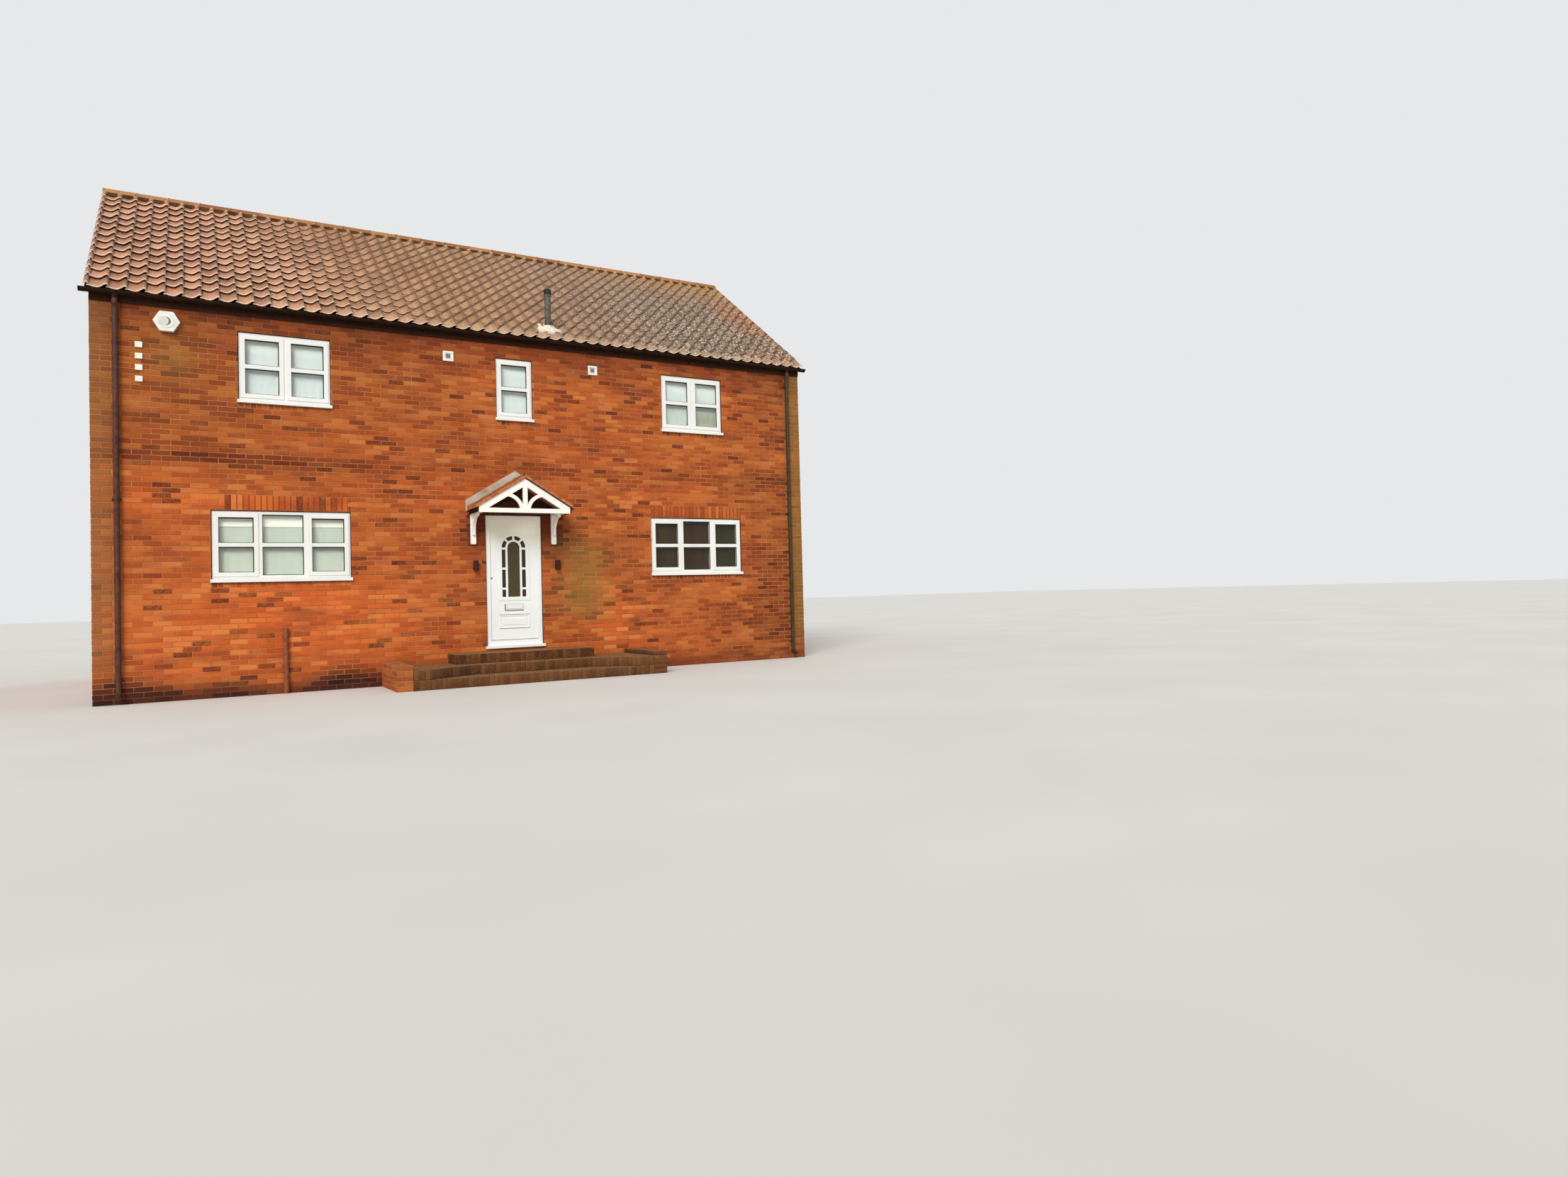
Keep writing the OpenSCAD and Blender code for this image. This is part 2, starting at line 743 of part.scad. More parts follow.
// Panes of a window: two to each light, above and below its glazing bar.
module window_panes(w, n) {
    h = win_frame_h;
    for (i = [0 : n - 1]) {
        in = sash_in(n, i);
        pane_h = h / 2 - bar_face / 2 - frame_face - in;
        for (z = [frame_face + in, h / 2 + bar_face / 2])
            translate([light_x(w, n, i) + in + seat, 12, z + seat])
                cube([light_w(w, n) - 2 * in - 2 * seat, glass_t, pane_h - 2 * seat]);
    }
}

module at_window(w) {
    translate([w[0] - w[2] / 2, win_set, w[1] + sill_h]) children();
}

module front_window(w) {
    color("#f2f3f0") place() at_window(w) window_frame(w[2], w[3]);
}

module lower_left_window() {
    front_window(lower_windows[0]);
}

module lower_right_window() {
    front_window(lower_windows[1]);
}

module upper_left_window() {
    front_window(upper_windows[0]);
}

module upper_middle_window() {
    front_window(upper_windows[1]);
}

module upper_right_window() {
    front_window(upper_windows[2]);
}

module rear_windows() {
    color("#f2f3f0") place() rear_side() for (w = concat(lower_windows, upper_windows))
        at_window(w) window_frame(w[2], w[3]);
}

module panes(windows) {
    for (w = windows)
        at_window(w) window_panes(w[2], w[3]);
}

module lower_front_glass() {
    color("#7d8c8a", 0.5) place() panes(lower_windows);
}

module upper_front_glass() {
    color("#9fb0ac", 0.5) place() panes(upper_windows);
}

module rear_glass() {
    color("#7d8c8a", 0.5) place() rear_side() panes(concat(lower_windows, upper_windows));
}

// Sill with a sloping top in front of the frame and a horn past each side of the opening.
module sill(w) {
    top = w[1] + sill_h;
    face_top = top - sill_fall * win_set / (win_set + sill_proud);
    along_x(w[0] - w[2] / 2, w[0] + w[2] / 2)
        polygon([[-seat, w[1]], [win_set + frame_d, w[1]], [win_set + frame_d, top], [win_set, top],
            [-seat, face_top]]);
    along_x(w[0] - w[2] / 2 - sill_horn, w[0] + w[2] / 2 + sill_horn)
        polygon([[-sill_proud, w[1]], [-seat, w[1]], [-seat, face_top], [-sill_proud, top - sill_fall]]);
}

module window_sills() {
    color("#f2f3f0") place() {
        for (w = concat(lower_windows, upper_windows)) {
            sill(w);
            rear_side() sill(w);
        }
    }
}

// Door frame with a stop in front of the leaf and a sill under it.
module door_frame() {
    h = door_head_z - ground_floor_z - head_gap;
    color("#f4f4f1") place() translate([door_l, frame_y, ground_floor_z]) {
        difference() {
            cube([door_w, frame_d, h]);
            translate([jamb_face, -pass, threshold_h])
                cube([door_w - 2 * jamb_face, frame_d + 2 * pass, h - threshold_h - jamb_face]);
        }
        difference() {
            cube([door_w, stop_t, h]);
            translate([jamb_face + door_gap + stop_cover, -pass, threshold_h])
                cube([door_w - 2 * (jamb_face + door_gap + stop_cover), stop_t + 2 * pass,
                    h - threshold_h - jamb_face - door_gap - stop_cover]);
        }
        translate([0, head_in, h]) cube([door_w, frame_d - head_in, head_gap]);
        translate([0, -frame_y - seat, 0]) cube([door_w, frame_y + seat, door_sill_h]);
        translate([-door_sill_horn, -frame_y - sill_proud, 0])
            cube([door_w + 2 * door_sill_horn, sill_proud - seat, door_sill_h]);
    }
}

// Arched outline of the door's glass, drawn smaller all round by an inset.
module arch_outline(inset) {
    translate([door_x, spring_z]) circle(r = arch_r - inset);
    translate([door_x - arch_r + inset, arch_z + inset])
        square([2 * (arch_r - inset), spring_z - arch_z - inset]);
}

// Bars that divide the arched glass into a tall middle pane and a border of small ones.
module cames() {
    inner = border_w;
    difference() {
        translate([door_x, spring_z]) circle(r = arch_r - inner + came_w / 2);
        translate([door_x, spring_z]) circle(r = arch_r - inner - came_w / 2);
        translate([door_x - arch_r, spring_z - arch_r]) square([arch_w, arch_r]);
    }
    for (s = [-1, 1])
        translate([door_x + s * (arch_r - inner) - came_w / 2, arch_z]) square([came_w, spring_z - arch_z]);
    for (a = [45, 90, 135])
        translate([door_x, spring_z]) rotate(a) translate([arch_r - inner, -came_w / 2])
            square([inner, came_w]);
    for (z = [arch_z + came_first : came_step : spring_z], s = [-1, 1])
        translate([door_x + s * (arch_r - inner / 2) - inner / 2, z - came_w / 2]) square([inner, came_w]);
}

// Door leaf with a moulded rim round the arched glass and a moulded panel below.
module front_door() {
    color("#f7f7f5") place() {
        difference() {
            union() {
                translate([leaf_l, leaf_y, leaf_z]) cube([leaf_r - leaf_l, leaf_t, leaf_top - leaf_z]);
                along_y(leaf_y - rim_proud, leaf_y + 1) arch_outline(-rim_w);
                along_y(leaf_y - panel_proud, leaf_y + 1) {
                    difference() {
                        panel(0);
                        panel(panel_rim);
                    }
                    panel(field_in);
                }
            }
            along_y(leaf_y - pass, leaf_y + leaf_t + pass) arch_outline(0);
        }
        along_y(came_y, came_y + came_t) intersection() {
            cames();
            arch_outline(0);
        }
    }
}

// Outline of the lower panel, drawn smaller all round by an inset.
module panel(inset) {
    translate([door_x - panel_w / 2 + inset, ground_floor_z + panel_z + inset])
        square([panel_w - 2 * inset, panel_h - 2 * inset]);
}

module door_glass() {
    color("#3a3a34", 0.6) place()
        along_y(came_y + came_t + seat, came_y + came_t + seat + door_glass_t) arch_outline(seat);
}

// Jamb half of each hinge: a flag on the frame, the lower knuckle, and the pin.
module door_hinges() {
    color("#e4e4e0") place() for (z = hinge_heights) translate([hinge_x, hinge_y, z]) {
        cylinder(r = knuckle_r, h = knuckle_h);
        cylinder(r = pin_r, h = 2 * knuckle_h);
        translate([0, frame_back - hinge_y, 0]) cube([flag_w, flag_t, knuckle_h]);
    }
}

// Leaf half of each hinge: a flag on the leaf's back face and the upper knuckle round the pin.
module leaf_hinges() {
    color("#e4e4e0") place() for (z = hinge_heights)
        translate([hinge_x, hinge_y, z + knuckle_h + seat]) difference() {
            union() {
                cylinder(r = knuckle_r, h = knuckle_h);
                translate([-flag_w - door_gap / 2, leaf_back - hinge_y, 0]) cube([flag_w, flag_t, knuckle_h]);
                translate([-door_gap / 2 - knuckle_r, leaf_back - hinge_y, 0])
                    cube([knuckle_r, hinge_y - leaf_back, knuckle_h]);
            }
            translate([0, 0, -pass]) cylinder(r = pin_r + seat, h = knuckle_h + 2 * pass);
        }
}

module letter_plate() {
    in = letter_rim + flap_gap;
    color("#e9e9e6") place() translate([door_x - letter_w / 2, leaf_y - letter_t, ground_floor_z + letter_z]) {
        difference() {
            cube([letter_w, letter_t, letter_h]);
            translate([letter_rim, -pass, letter_rim])
                cube([letter_w - 2 * letter_rim, pass + letter_t - 2, letter_h - 2 * letter_rim]);
        }
        translate([in, 1, in]) cube([letter_w - 2 * in, letter_t - 1, letter_h - in - letter_rim]);
    }
}

module door_lock() {
    color("#55524d") place() translate([leaf_l + lock_in, leaf_y, ground_floor_z + lock_z]) rotate([90, 0, 0]) {
        cylinder(r = lock_r, h = lock_r / 5);
        cylinder(r = lock_r * 0.6, h = lock_r * 0.3);
    }
}

// Outline of the space under the rafters and over the tie beam, from the truss's middle and bottom edge.
// A depth takes the space's edges that far into the rafters and the tie.
module truss_space(depth) {
    top = truss_h - (rafter_w - depth) / cos(canopy_pitch);
    foot = tie_w - depth;
    half = (top - foot) / tan(canopy_pitch);
    polygon([[-half, foot], [half, foot], [0, top]]);
}

// Curved strut: a quarter of a ring, from the foot of the king post up and out to a rafter.
module strut(s) {
    translate([s * (strut_r + strut_foot), tie_w / 2]) intersection() {
        difference() {
            circle(r = strut_r + strut_w / 2);
            circle(r = strut_r - strut_w / 2);
        }
        translate([s > 0 ? -2 * strut_r : 0, 0]) square([2 * strut_r, 2 * strut_r]);
    }
}

// Truss: tie beam, two rafters, king post, and a curved strut from the foot of the post to each rafter.
module canopy_truss() {
    color("#f3f1ec") place() along_y(-truss_reach, -truss_reach + truss_t) translate([canopy_x, truss_z]) {
        difference() {
            polygon([[-canopy_run, 0], [canopy_run, 0], [canopy_run, truss_end_h], [0, truss_h],
                [-canopy_run, truss_end_h]]);
            truss_space(0);
        }
        intersection() {
            truss_space(tie_w / 3);
            union() {
                translate([-tie_w / 2, 0]) square([tie_w, truss_h]);
                strut(-1);
                strut(1);
            }
        }
    }
}

// Height over the truss's peak line, a distance x from the canopy's middle and t above it.
function canopy_z(x, t) = canopy_peak - abs(x) * canopy_rise / canopy_run + t / cos(canopy_pitch);

// Outline of the canopy's roof, whose top steps down at each course of tiles on both sides of its middle.
module canopy_slopes() {
    gauge = canopy_half / canopy_courses;
    polygon(concat(
        [for (i = [-canopy_courses : canopy_courses - 1], k = [0, 1]) if (i != 0 || k != 0)
            let (head = (i < 0) == (k == 1), x = (i + k) * gauge)
            [x, canopy_z(x, canopy_t - (head ? canopy_step : 0))]],
        [[canopy_half, canopy_z(canopy_half, 0)], [0, canopy_z(0, 0)],
            [-canopy_half, canopy_z(canopy_half, 0)]]));
}

// The canopy's roof with a round capping along its ridge.
module canopy_roof() {
    color("#b8684a") place() along_y(-truss_reach - canopy_over, -flashing_t - seat) translate([canopy_x, 0]) {
        canopy_slopes();
        intersection() {
            translate([0, canopy_z(0, canopy_t) - cap_r]) circle(r = cap_r);
            translate([-cap_r, canopy_peak + canopy_t / 2]) square([2 * cap_r, 2 * cap_r]);
        }
    }
}

// Band of mortar on the wall along the top of the canopy's roof.
module canopy_flashing() {
    half = canopy_run + flashing_side;
    band = canopy_t + flashing_h * cos(canopy_pitch);
    color("#b9b09a") place() along_y(-flashing_t, 0) translate([canopy_x, 0])
        polygon([for (t = [0, band], s = [-1, 0, 1]) [(t > 0 ? -s : s) * half, canopy_z(s * half, t)]]);
}

// Dark boards under the sides of the canopy's roof, from the flashing to the truss.
module canopy_side_boards() {
    inner = canopy_run + seat;
    outer = canopy_run + side_board_t;
    foot = truss_z + side_board_up;
    for (s = [-1, 1])
        along_y(-truss_reach, -flashing_t - seat) translate([canopy_x, 0])
            polygon([[s * inner, foot], [s * outer, foot], [s * outer, canopy_z(outer, -seat)],
                [s * inner, canopy_z(inner, -seat)]]);
}

// Wall bracket under the canopy, from its left edge x: a post on the wall, an arm out to the truss, and a
// curved brace.
module canopy_bracket(x) {
    reach = truss_reach - truss_t;
    r = brace_reach + brace_in;
    translate([x, 0, 0]) {
        along_y(-bracket_t, 0) translate([0, truss_z + bracket_t - bracket_h]) post_outline();
        translate([0, -reach + seat, truss_z]) cube([bracket_w, reach - seat, bracket_t]);
        translate([(bracket_w - brace_t) / 2, 0, 0]) along_x(0, brace_t)
            translate([-bracket_t - brace_reach, truss_z - brace_reach]) intersection() {
                difference() {
                    circle(r = r);
                    circle(r = r - bracket_t);
                }
                square([r, r]);
            }
    }
}

// Front outline of a bracket's post, with rounded corners at its foot.
module post_outline() {
    translate([0, foot_r]) square([bracket_w, bracket_h - foot_r]);
    translate([foot_r, 0]) square([bracket_w - 2 * foot_r, foot_r]);
    for (x = [foot_r, bracket_w - foot_r])
        translate([x, foot_r]) circle(r = foot_r);
}

module canopy_brackets() {
    color("#f3f1ec") place() {
        canopy_bracket(canopy_x - canopy_run);
        canopy_bracket(canopy_x + canopy_run - bracket_inset - bracket_w);
    }
}

// Plan of the steps' body between the piers, from the middle of the door.
half_in = steps_half - pier_w;

module entrance_landing() {
    color("#8c4a33") place() translate([steps_x - landing_half, -landing_d, landing_z - step_h])
        cube([2 * landing_half, landing_d, step_h]);
}

// Middle step, with a wing at each end that comes forward past the lower step.
module middle_step() {
    color("#84452f") place() translate([steps_x, 0, 0]) linear_extrude(landing_z - step_h)
        polygon([[-half_in, 0], [-half_in, -steps_reach], [-lower_half, -steps_reach],
            [-middle_half, -middle_d], [middle_half, -middle_d], [lower_half, -steps_reach],
            [half_in, -steps_reach], [half_in, 0]]);
}

module lower_step() {
    color("#7a402c") place() translate([steps_x, 0, 0]) linear_extrude(landing_z - 2 * step_h)
        polygon([[-lower_half, -steps_reach], [lower_half, -steps_reach], [middle_half, -middle_d],
            [-middle_half, -middle_d]]);
}

module step_piers() {
    color("#a2543a") place() for (x = [-steps_half, half_in])
        translate([steps_x + x, -steps_reach, 0]) cube([pier_w, steps_reach, pier_z]);
}

// Square covers with a plain rim and slats across a sunk middle.
module vent_covers() {
    open = vent_cover - 2 * vent_rim;
    pitch = open / vent_slats;
    color("#e8e8e4") place() for (x = [door_x - vent_cover_left, door_x + vent_cover_right])
        translate([x - vent_cover / 2, -vent_cover_t, vent_cover_z - vent_cover / 2]) {
            difference() {
                cube([vent_cover, vent_cover_t, vent_cover]);
                translate([vent_rim, -pass, vent_rim]) cube([open, pass + vent_cover_t * 0.7, open]);
            }
            for (k = [0 : vent_slats - 1])
                translate([vent_rim, vent_cover_t * 0.3, vent_rim + (k + 0.35) * pitch])
                    cube([open, vent_cover_t * 0.5, pitch * 0.3]);
        }
}

// Six-sided alarm box with a round raised face and a small lens on it.
module alarm_box() {
    color("#eceae4") place() translate([alarm_x, 0, alarm_z]) rotate([90, 0, 0]) {
        cylinder(r = alarm_w / 2 / cos(30), h = alarm_t, $fn = 6);
        cylinder(r = alarm_face_d / 2, h = alarm_t + 6);
        translate([alarm_face_d / 7, 0, 0]) cylinder(r = alarm_face_d / 12, h = alarm_t + 14);
    }
}

module wall_plates() {
    color("#e4e2dc") place() for (k = [0 : 3])
        translate([plate_x - plate_w / 2, -plate_t, plate_z - k * plate_step - plate_h / 2])
            cube([plate_w, plate_t, plate_h]);
}

// Small dark lights on the wall, one each side of the door: a back plate, a stem and a round body.
module wall_lights() {
    body_y = -light_plate_t - light_gap - light_d / 2;
    color("#4a2018") place() for (x = [door_x - light_left, door_x + light_right])
        translate([x, 0, light_z]) {
            translate([-light_d * 0.4, -light_plate_t, -light_h * 0.4])
                cube([light_d * 0.8, light_plate_t, light_h * 0.8]);
            translate([-light_d * 0.15, body_y, -light_h * 0.15])
                cube([light_d * 0.3, -body_y, light_h * 0.3]);
            translate([0, body_y, -light_h / 2]) cylinder(r = light_d / 2, h = light_h);
        }
}

module standpipe() {
    color("#5a3324") place() translate([standpipe_x, 0, 0]) {
        translate([0, -standpipe_d / 2 - standpipe_gap, 0]) cylinder(r = standpipe_d / 2, h = standpipe_z);
        for (z = [standpipe_z * 0.4, standpipe_z * 0.85])
            translate([-standpipe_d * 0.7, -2 * standpipe_gap, z])
                cube([standpipe_d * 1.4, 2 * standpipe_gap, clip_h]);
    }
}

front_wall_left();
front_wall_right();
front_wall_over_door();
front_wall_under_door();
rear_wall();
left_gable_wall();
right_gable_wall();
ground_floor();
first_floor();
front_roof_slope();
rear_roof_slope();
ridge_tiles();
fascias();
gutters();
downpipes();
soil_vent_pipe();
lower_left_window();
lower_right_window();
upper_left_window();
upper_middle_window();
upper_right_window();
rear_windows();
lower_front_glass();
upper_front_glass();
rear_glass();
window_sills();
door_frame();
front_door();
door_glass();
door_hinges();
leaf_hinges();
letter_plate();
door_lock();
canopy_roof();
canopy_flashing();
canopy_truss();
canopy_brackets();
entrance_landing();
middle_step();
lower_step();
step_piers();
vent_covers();
alarm_box();
wall_plates();
wall_lights();
standpipe();
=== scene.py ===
import bmesh
import bpy
import math
import numpy as np
from mathutils import Matrix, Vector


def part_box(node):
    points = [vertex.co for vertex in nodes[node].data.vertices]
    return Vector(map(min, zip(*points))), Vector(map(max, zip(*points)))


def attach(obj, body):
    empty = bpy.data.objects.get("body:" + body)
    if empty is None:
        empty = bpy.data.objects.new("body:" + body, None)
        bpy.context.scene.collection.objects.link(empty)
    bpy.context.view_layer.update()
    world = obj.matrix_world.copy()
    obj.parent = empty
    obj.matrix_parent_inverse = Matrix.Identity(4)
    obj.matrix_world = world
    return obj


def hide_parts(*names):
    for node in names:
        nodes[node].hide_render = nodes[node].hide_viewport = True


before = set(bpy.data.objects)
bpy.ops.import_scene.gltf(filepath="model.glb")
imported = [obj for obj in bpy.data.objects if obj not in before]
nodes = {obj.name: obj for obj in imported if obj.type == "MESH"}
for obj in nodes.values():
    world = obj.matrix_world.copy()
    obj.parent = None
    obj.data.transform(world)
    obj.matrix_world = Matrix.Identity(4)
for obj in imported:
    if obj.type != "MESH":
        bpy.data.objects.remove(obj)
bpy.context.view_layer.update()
dice = np.random.default_rng(1907)
print("frame loaded with", len(nodes), "nodes")

# Places that several pieces share, in metres in the frame's own axes.
house = {
    "left": -5.565,
    "right": 5.565,
    "front": -3.19,
    "rear": 4.45,
    "ridgeY": 0.63,
    "eavesY": -3.275,
    "eavesZ": 5.700,
    "pitch": math.radians(33.7),
    "doorX": 0.025,
    "canopyX": 0.057,
    "stepsX": 0.047,
    "body": "house",
}


def linear(code, alpha=1.0):
    # each pair of hex digits over 255, with the sRGB curve undone
    parts = [int(code[i:i + 2], 16) / 255 for i in (1, 3, 5)]
    return [p / 12.92 if p < 0.04045 else ((p + 0.055) / 1.055) ** 2.4 for p in parts] + [alpha]


def addNode(tree, kind, settings=(), links=()):
    # a node with its settings, and each input linked to a socket or set to a value or hex colour
    node = tree.nodes.new("ShaderNode" + kind)
    for name, value in dict(settings).items():
        if name == "stops":
            ends = node.color_ramp.elements
            ends[0].position, ends[1].position = value[0][0], value[-1][0]
            ends[0].color, ends[1].color = linear(value[0][1]), linear(value[-1][1])
            for place, code in value[1:-1]:
                ends.new(place).color = linear(code)
        else:
            setattr(node, name, value)
    for name, value in dict(links).items():
        socket = node.inputs[name]
        if isinstance(value, bpy.types.NodeSocket):
            tree.links.new(value, socket)
        else:
            socket.default_value = linear(value) if isinstance(value, str) else value
    return node


# Settings that many nodes share.
blend = {"data_type": "RGBA"}
darken = {"data_type": "RGBA", "blend_type": "MULTIPLY"}
product = {"operation": "MULTIPLY"}
soft = {"interpolation_type": "SMOOTHSTEP"}


def newTree(name):
    # an empty material and its tree
    material = bpy.data.materials.new(name)
    material.use_nodes = True
    material.node_tree.nodes.clear()
    return material, material.node_tree


def newFinish(name):
    # an empty material, its tree and the place on the object, in metres
    material, tree = newTree(name)
    return material, tree, addNode(tree, "TexCoord").outputs["Object"]


def mottled(tree, place, stops, scale, detail=2, rough=0.5):
    # a noise and the colour that it picks from the stops
    look = {"Vector": place, "Scale": scale, "Detail": detail, "Roughness": rough}
    noise = addNode(tree, "TexNoise", (), look).outputs[0]
    return noise, addNode(tree, "ValToRGB", {"stops": stops}, {0: noise}).outputs[0]


def finishSurface(tree, look, height=None, depth=0.001):
    # the shader with its bump, where height from 0 to 1 stands for depth metres
    look = dict(look)
    if height is not None:
        look["Normal"] = addNode(tree, "Bump", (), {"Height": height, "Distance": depth}).outputs[0]
    shader = addNode(tree, "BsdfPrincipled", (), look)
    addNode(tree, "OutputMaterial", (), {"Surface": shader.outputs[0]})


def plainFinish(name, stops, roughness, scale, depth, gloss=0.5):
    # a colour that drifts between its stops with a fine texture of the same scale
    material, tree, place = newFinish(name)
    drift, colour = mottled(tree, place, stops, scale, 5, 0.6)
    look = {"Base Color": colour, "Roughness": roughness, "Specular IOR Level": gloss}
    finishSurface(tree, look, drift, depth)
    return material


def dress(piece, material, body=house["body"], replaced=()):
    # the material, the body that carries the piece, its slot and the nodes that it stands for
    piece.data.materials.clear()
    piece.data.materials.append(material)
    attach(piece, body)
    if replaced:
        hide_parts(*replaced)
    return piece


def meshPiece(name, points, faces, smoothAngle=None, tones=()):
    # points as an n by 3 array, faces as a list of index arrays; tones holds colour attributes by name
    mesh = bpy.data.meshes.new(name)
    rows = [row for part in faces for row in np.asarray(part).tolist()]
    mesh.from_pydata(np.asarray(points, float).reshape(-1, 3).tolist(), [], rows)
    for toneName, values in dict(tones).items():
        layer = mesh.color_attributes.new(name=toneName, type="FLOAT_COLOR", domain="POINT")
        layer.data.foreach_set("color", np.asarray(values, np.float32).ravel())
    if smoothAngle is not None:
        mesh.shade_smooth()
        mesh.set_sharp_from_angle(angle=math.radians(smoothAngle))
    mesh.update()
    piece = bpy.data.objects.new(name, mesh)
    bpy.context.scene.collection.objects.link(piece)
    return piece


def gridFaces(rows, columns, closeRows=False, closeColumns=False):
    # the quads between neighbouring points of a grid whose point number is row times columns plus column
    r = np.arange(rows if closeRows else rows - 1)[:, None]
    c = np.arange(columns if closeColumns else columns - 1)[None, :]
    right, above = (c + 1) % columns, (r + 1) % rows
    quads = [r * columns + c, r * columns + right, above * columns + right, above * columns + c]
    return np.stack(np.broadcast_arrays(*quads), -1).reshape(-1, 4)


def repeated(faces, copies, points):
    # the same faces for each copy, with the point numbers moved on
    faces = np.asarray(faces)
    return (faces[None] + (np.arange(copies) * points)[:, None, None]).reshape(-1, faces.shape[1])


def boxPoints(lows, highs):
    # the eight corners of each box, and its six faces, turned outwards
    lows, highs = np.atleast_2d(lows).astype(float), np.atleast_2d(highs).astype(float)
    pick = np.array([[0, 0, 0], [1, 0, 0], [1, 1, 0], [0, 1, 0],
                     [0, 0, 1], [1, 0, 1], [1, 1, 1], [0, 1, 1]])
    points = np.where(pick[None] == 1, highs[:, None], lows[:, None])
    faces = [[0, 3, 2, 1], [4, 5, 6, 7], [0, 1, 5, 4], [1, 2, 6, 5], [2, 3, 7, 6], [3, 0, 4, 7]]
    return points.reshape(-1, 3), repeated(faces, len(lows), 8)


def bevelledCopy(name, node, material, width=0.003, body=house["body"]):
    # the node's own solid, merged at its corners and joined into flat faces, with its edges rounded
    shape = bmesh.new()
    shape.from_mesh(nodes[node].data)
    bmesh.ops.remove_doubles(shape, verts=shape.verts, dist=2e-5)
    bmesh.ops.dissolve_limit(shape, angle_limit=math.radians(1), verts=shape.verts, edges=shape.edges)
    mesh = bpy.data.meshes.new(name)
    shape.to_mesh(mesh)
    shape.free()
    for spare in [layer for layer in mesh.attributes if layer.name == "custom_normal"]:
        mesh.attributes.remove(spare)
    mesh.shade_smooth()
    piece = bpy.data.objects.new(name, mesh)
    bpy.context.scene.collection.objects.link(piece)
    rounding = piece.modifiers.new("rounding", "BEVEL")
    rounding.width = width
    rounding.segments = 2
    rounding.limit_method = "ANGLE"
    rounding.angle_limit = math.radians(35)
    rounding.harden_normals = True
    return dress(piece, material, body, [node])


def paintNode(node, material):
    # the node keeps its own solid and gets this finish
    for place in nodes[node].material_slots:
        place.material = material


# Camera, at the photograph's place and angle.
camera = {
    "place": (-4.409, -20.363, 1.276),
    "yaw": 34.03,
    "pitch": 1.40,
    "roll": -1.635,
    "lens": 23.0,
    "shift": (-0.055, -0.0146),
}
yaw, pitch, roll = (math.radians(camera[angle]) for angle in ("yaw", "pitch", "roll"))
ahead = np.array([math.sin(yaw) * math.cos(pitch), math.cos(yaw) * math.cos(pitch), math.sin(pitch)])
level = np.array([math.cos(yaw), -math.sin(yaw), 0.0])
upright = np.cross(level, ahead)
across = level * math.cos(roll) + upright * math.sin(roll)
over = -level * math.sin(roll) + upright * math.cos(roll)
turn = np.eye(4)
turn[:3] = np.column_stack([across, over, -ahead, camera["place"]])
lensData = bpy.data.cameras.new("camera")
lensData.lens = camera["lens"]
lensData.shift_x, lensData.shift_y = camera["shift"]
lensData.clip_end = 400
cameraObject = bpy.data.objects.new("camera", lensData)
cameraObject.matrix_world = Matrix(turn.tolist())
bpy.context.scene.collection.objects.link(cameraObject)
bpy.context.scene.camera = cameraObject
print("camera placed")

# Facing bricks: 215 by 65 mm stretchers at 225 by 75 mm, a little proud of their joints.
brickwork = {
    "length": 0.215,
    "height": 0.065,
    "joint": 0.010,
    "proud": 0.004,
    "uneven": 0.0008,
    "arris": 0.003,
    "inWall": 0.003,
    "inReveal": 0.024,
    "lip": 0.001,
    "wobble": 0.0007,
    "shortest": 0.022,
    "lowest": 0.03,
    "burnt": 0.10,
    "eavesTop": 5.550,
    "gableTop": 8.35,
    "onEndTrims": ((0.17, 0.04), (0.0, 0.0)),
}
pitchU = brickwork["length"] + brickwork["joint"]
pitchV = brickwork["height"] + brickwork["joint"]


def stretcherBond(width, height, foot=0.0, half=0, reach=0.0):
    # brick i of course k starts i pitches along, and half a pitch further in every other course
    rows = np.arange(round(height / pitchV))
    columns = np.arange(-1, int(width / pitchU) + 2)
    start = columns[None, :] * pitchU + (((rows + half) % 2) * pitchU / 2)[:, None]
    low = np.clip(start + brickwork["joint"] / 2, -reach, width + reach)
    high = np.clip(start + pitchU - brickwork["joint"] / 2, -reach, width + reach)
    base = np.broadcast_to((foot + rows * pitchV + brickwork["joint"] / 2)[:, None], low.shape)
    rects = np.stack([low, high, base, base + brickwork["height"]], -1).reshape(-1, 4)
    return rects[rects[:, 1] - rects[:, 0] > brickwork["shortest"]]


def splitAt(rects, openings):
    # a brick that an opening crosses keeps its parts on both sides
    for left, right, foot, head in openings:
        middle = (rects[:, 2] + rects[:, 3]) / 2
        crossed = (middle > foot) & (middle < head) & (rects[:, 0] < right) & (rects[:, 1] > left)
        before, after = rects[crossed].copy(), rects[crossed].copy()
        before[:, 1] = left + brickwork["lip"]
        after[:, 0] = right - brickwork["lip"]
        rects = np.concatenate([rects[~crossed], before, after])
        rects = rects[rects[:, 1] - rects[:, 0] > brickwork["shortest"]]
    return rects


def bricksInRow(left, right, foot, head, count):
    # count bricks side by side, each a joint narrower than its share
    share = (right - left) / count
    low = left + np.arange(count) * share + brickwork["joint"] / 2
    high = low + share - brickwork["joint"]
    gap = brickwork["joint"] / 2
    return np.stack([low, high, np.full(count, foot + gap), np.full(count, head - gap)], -1)


def cornersOf(rects):
    # the corners of each rectangle (left, right, foot, head), anticlockwise from its lower left
    return np.stack([rects[:, pair] for pair in ([0, 2], [1, 2], [1, 3], [0, 3])], 1)


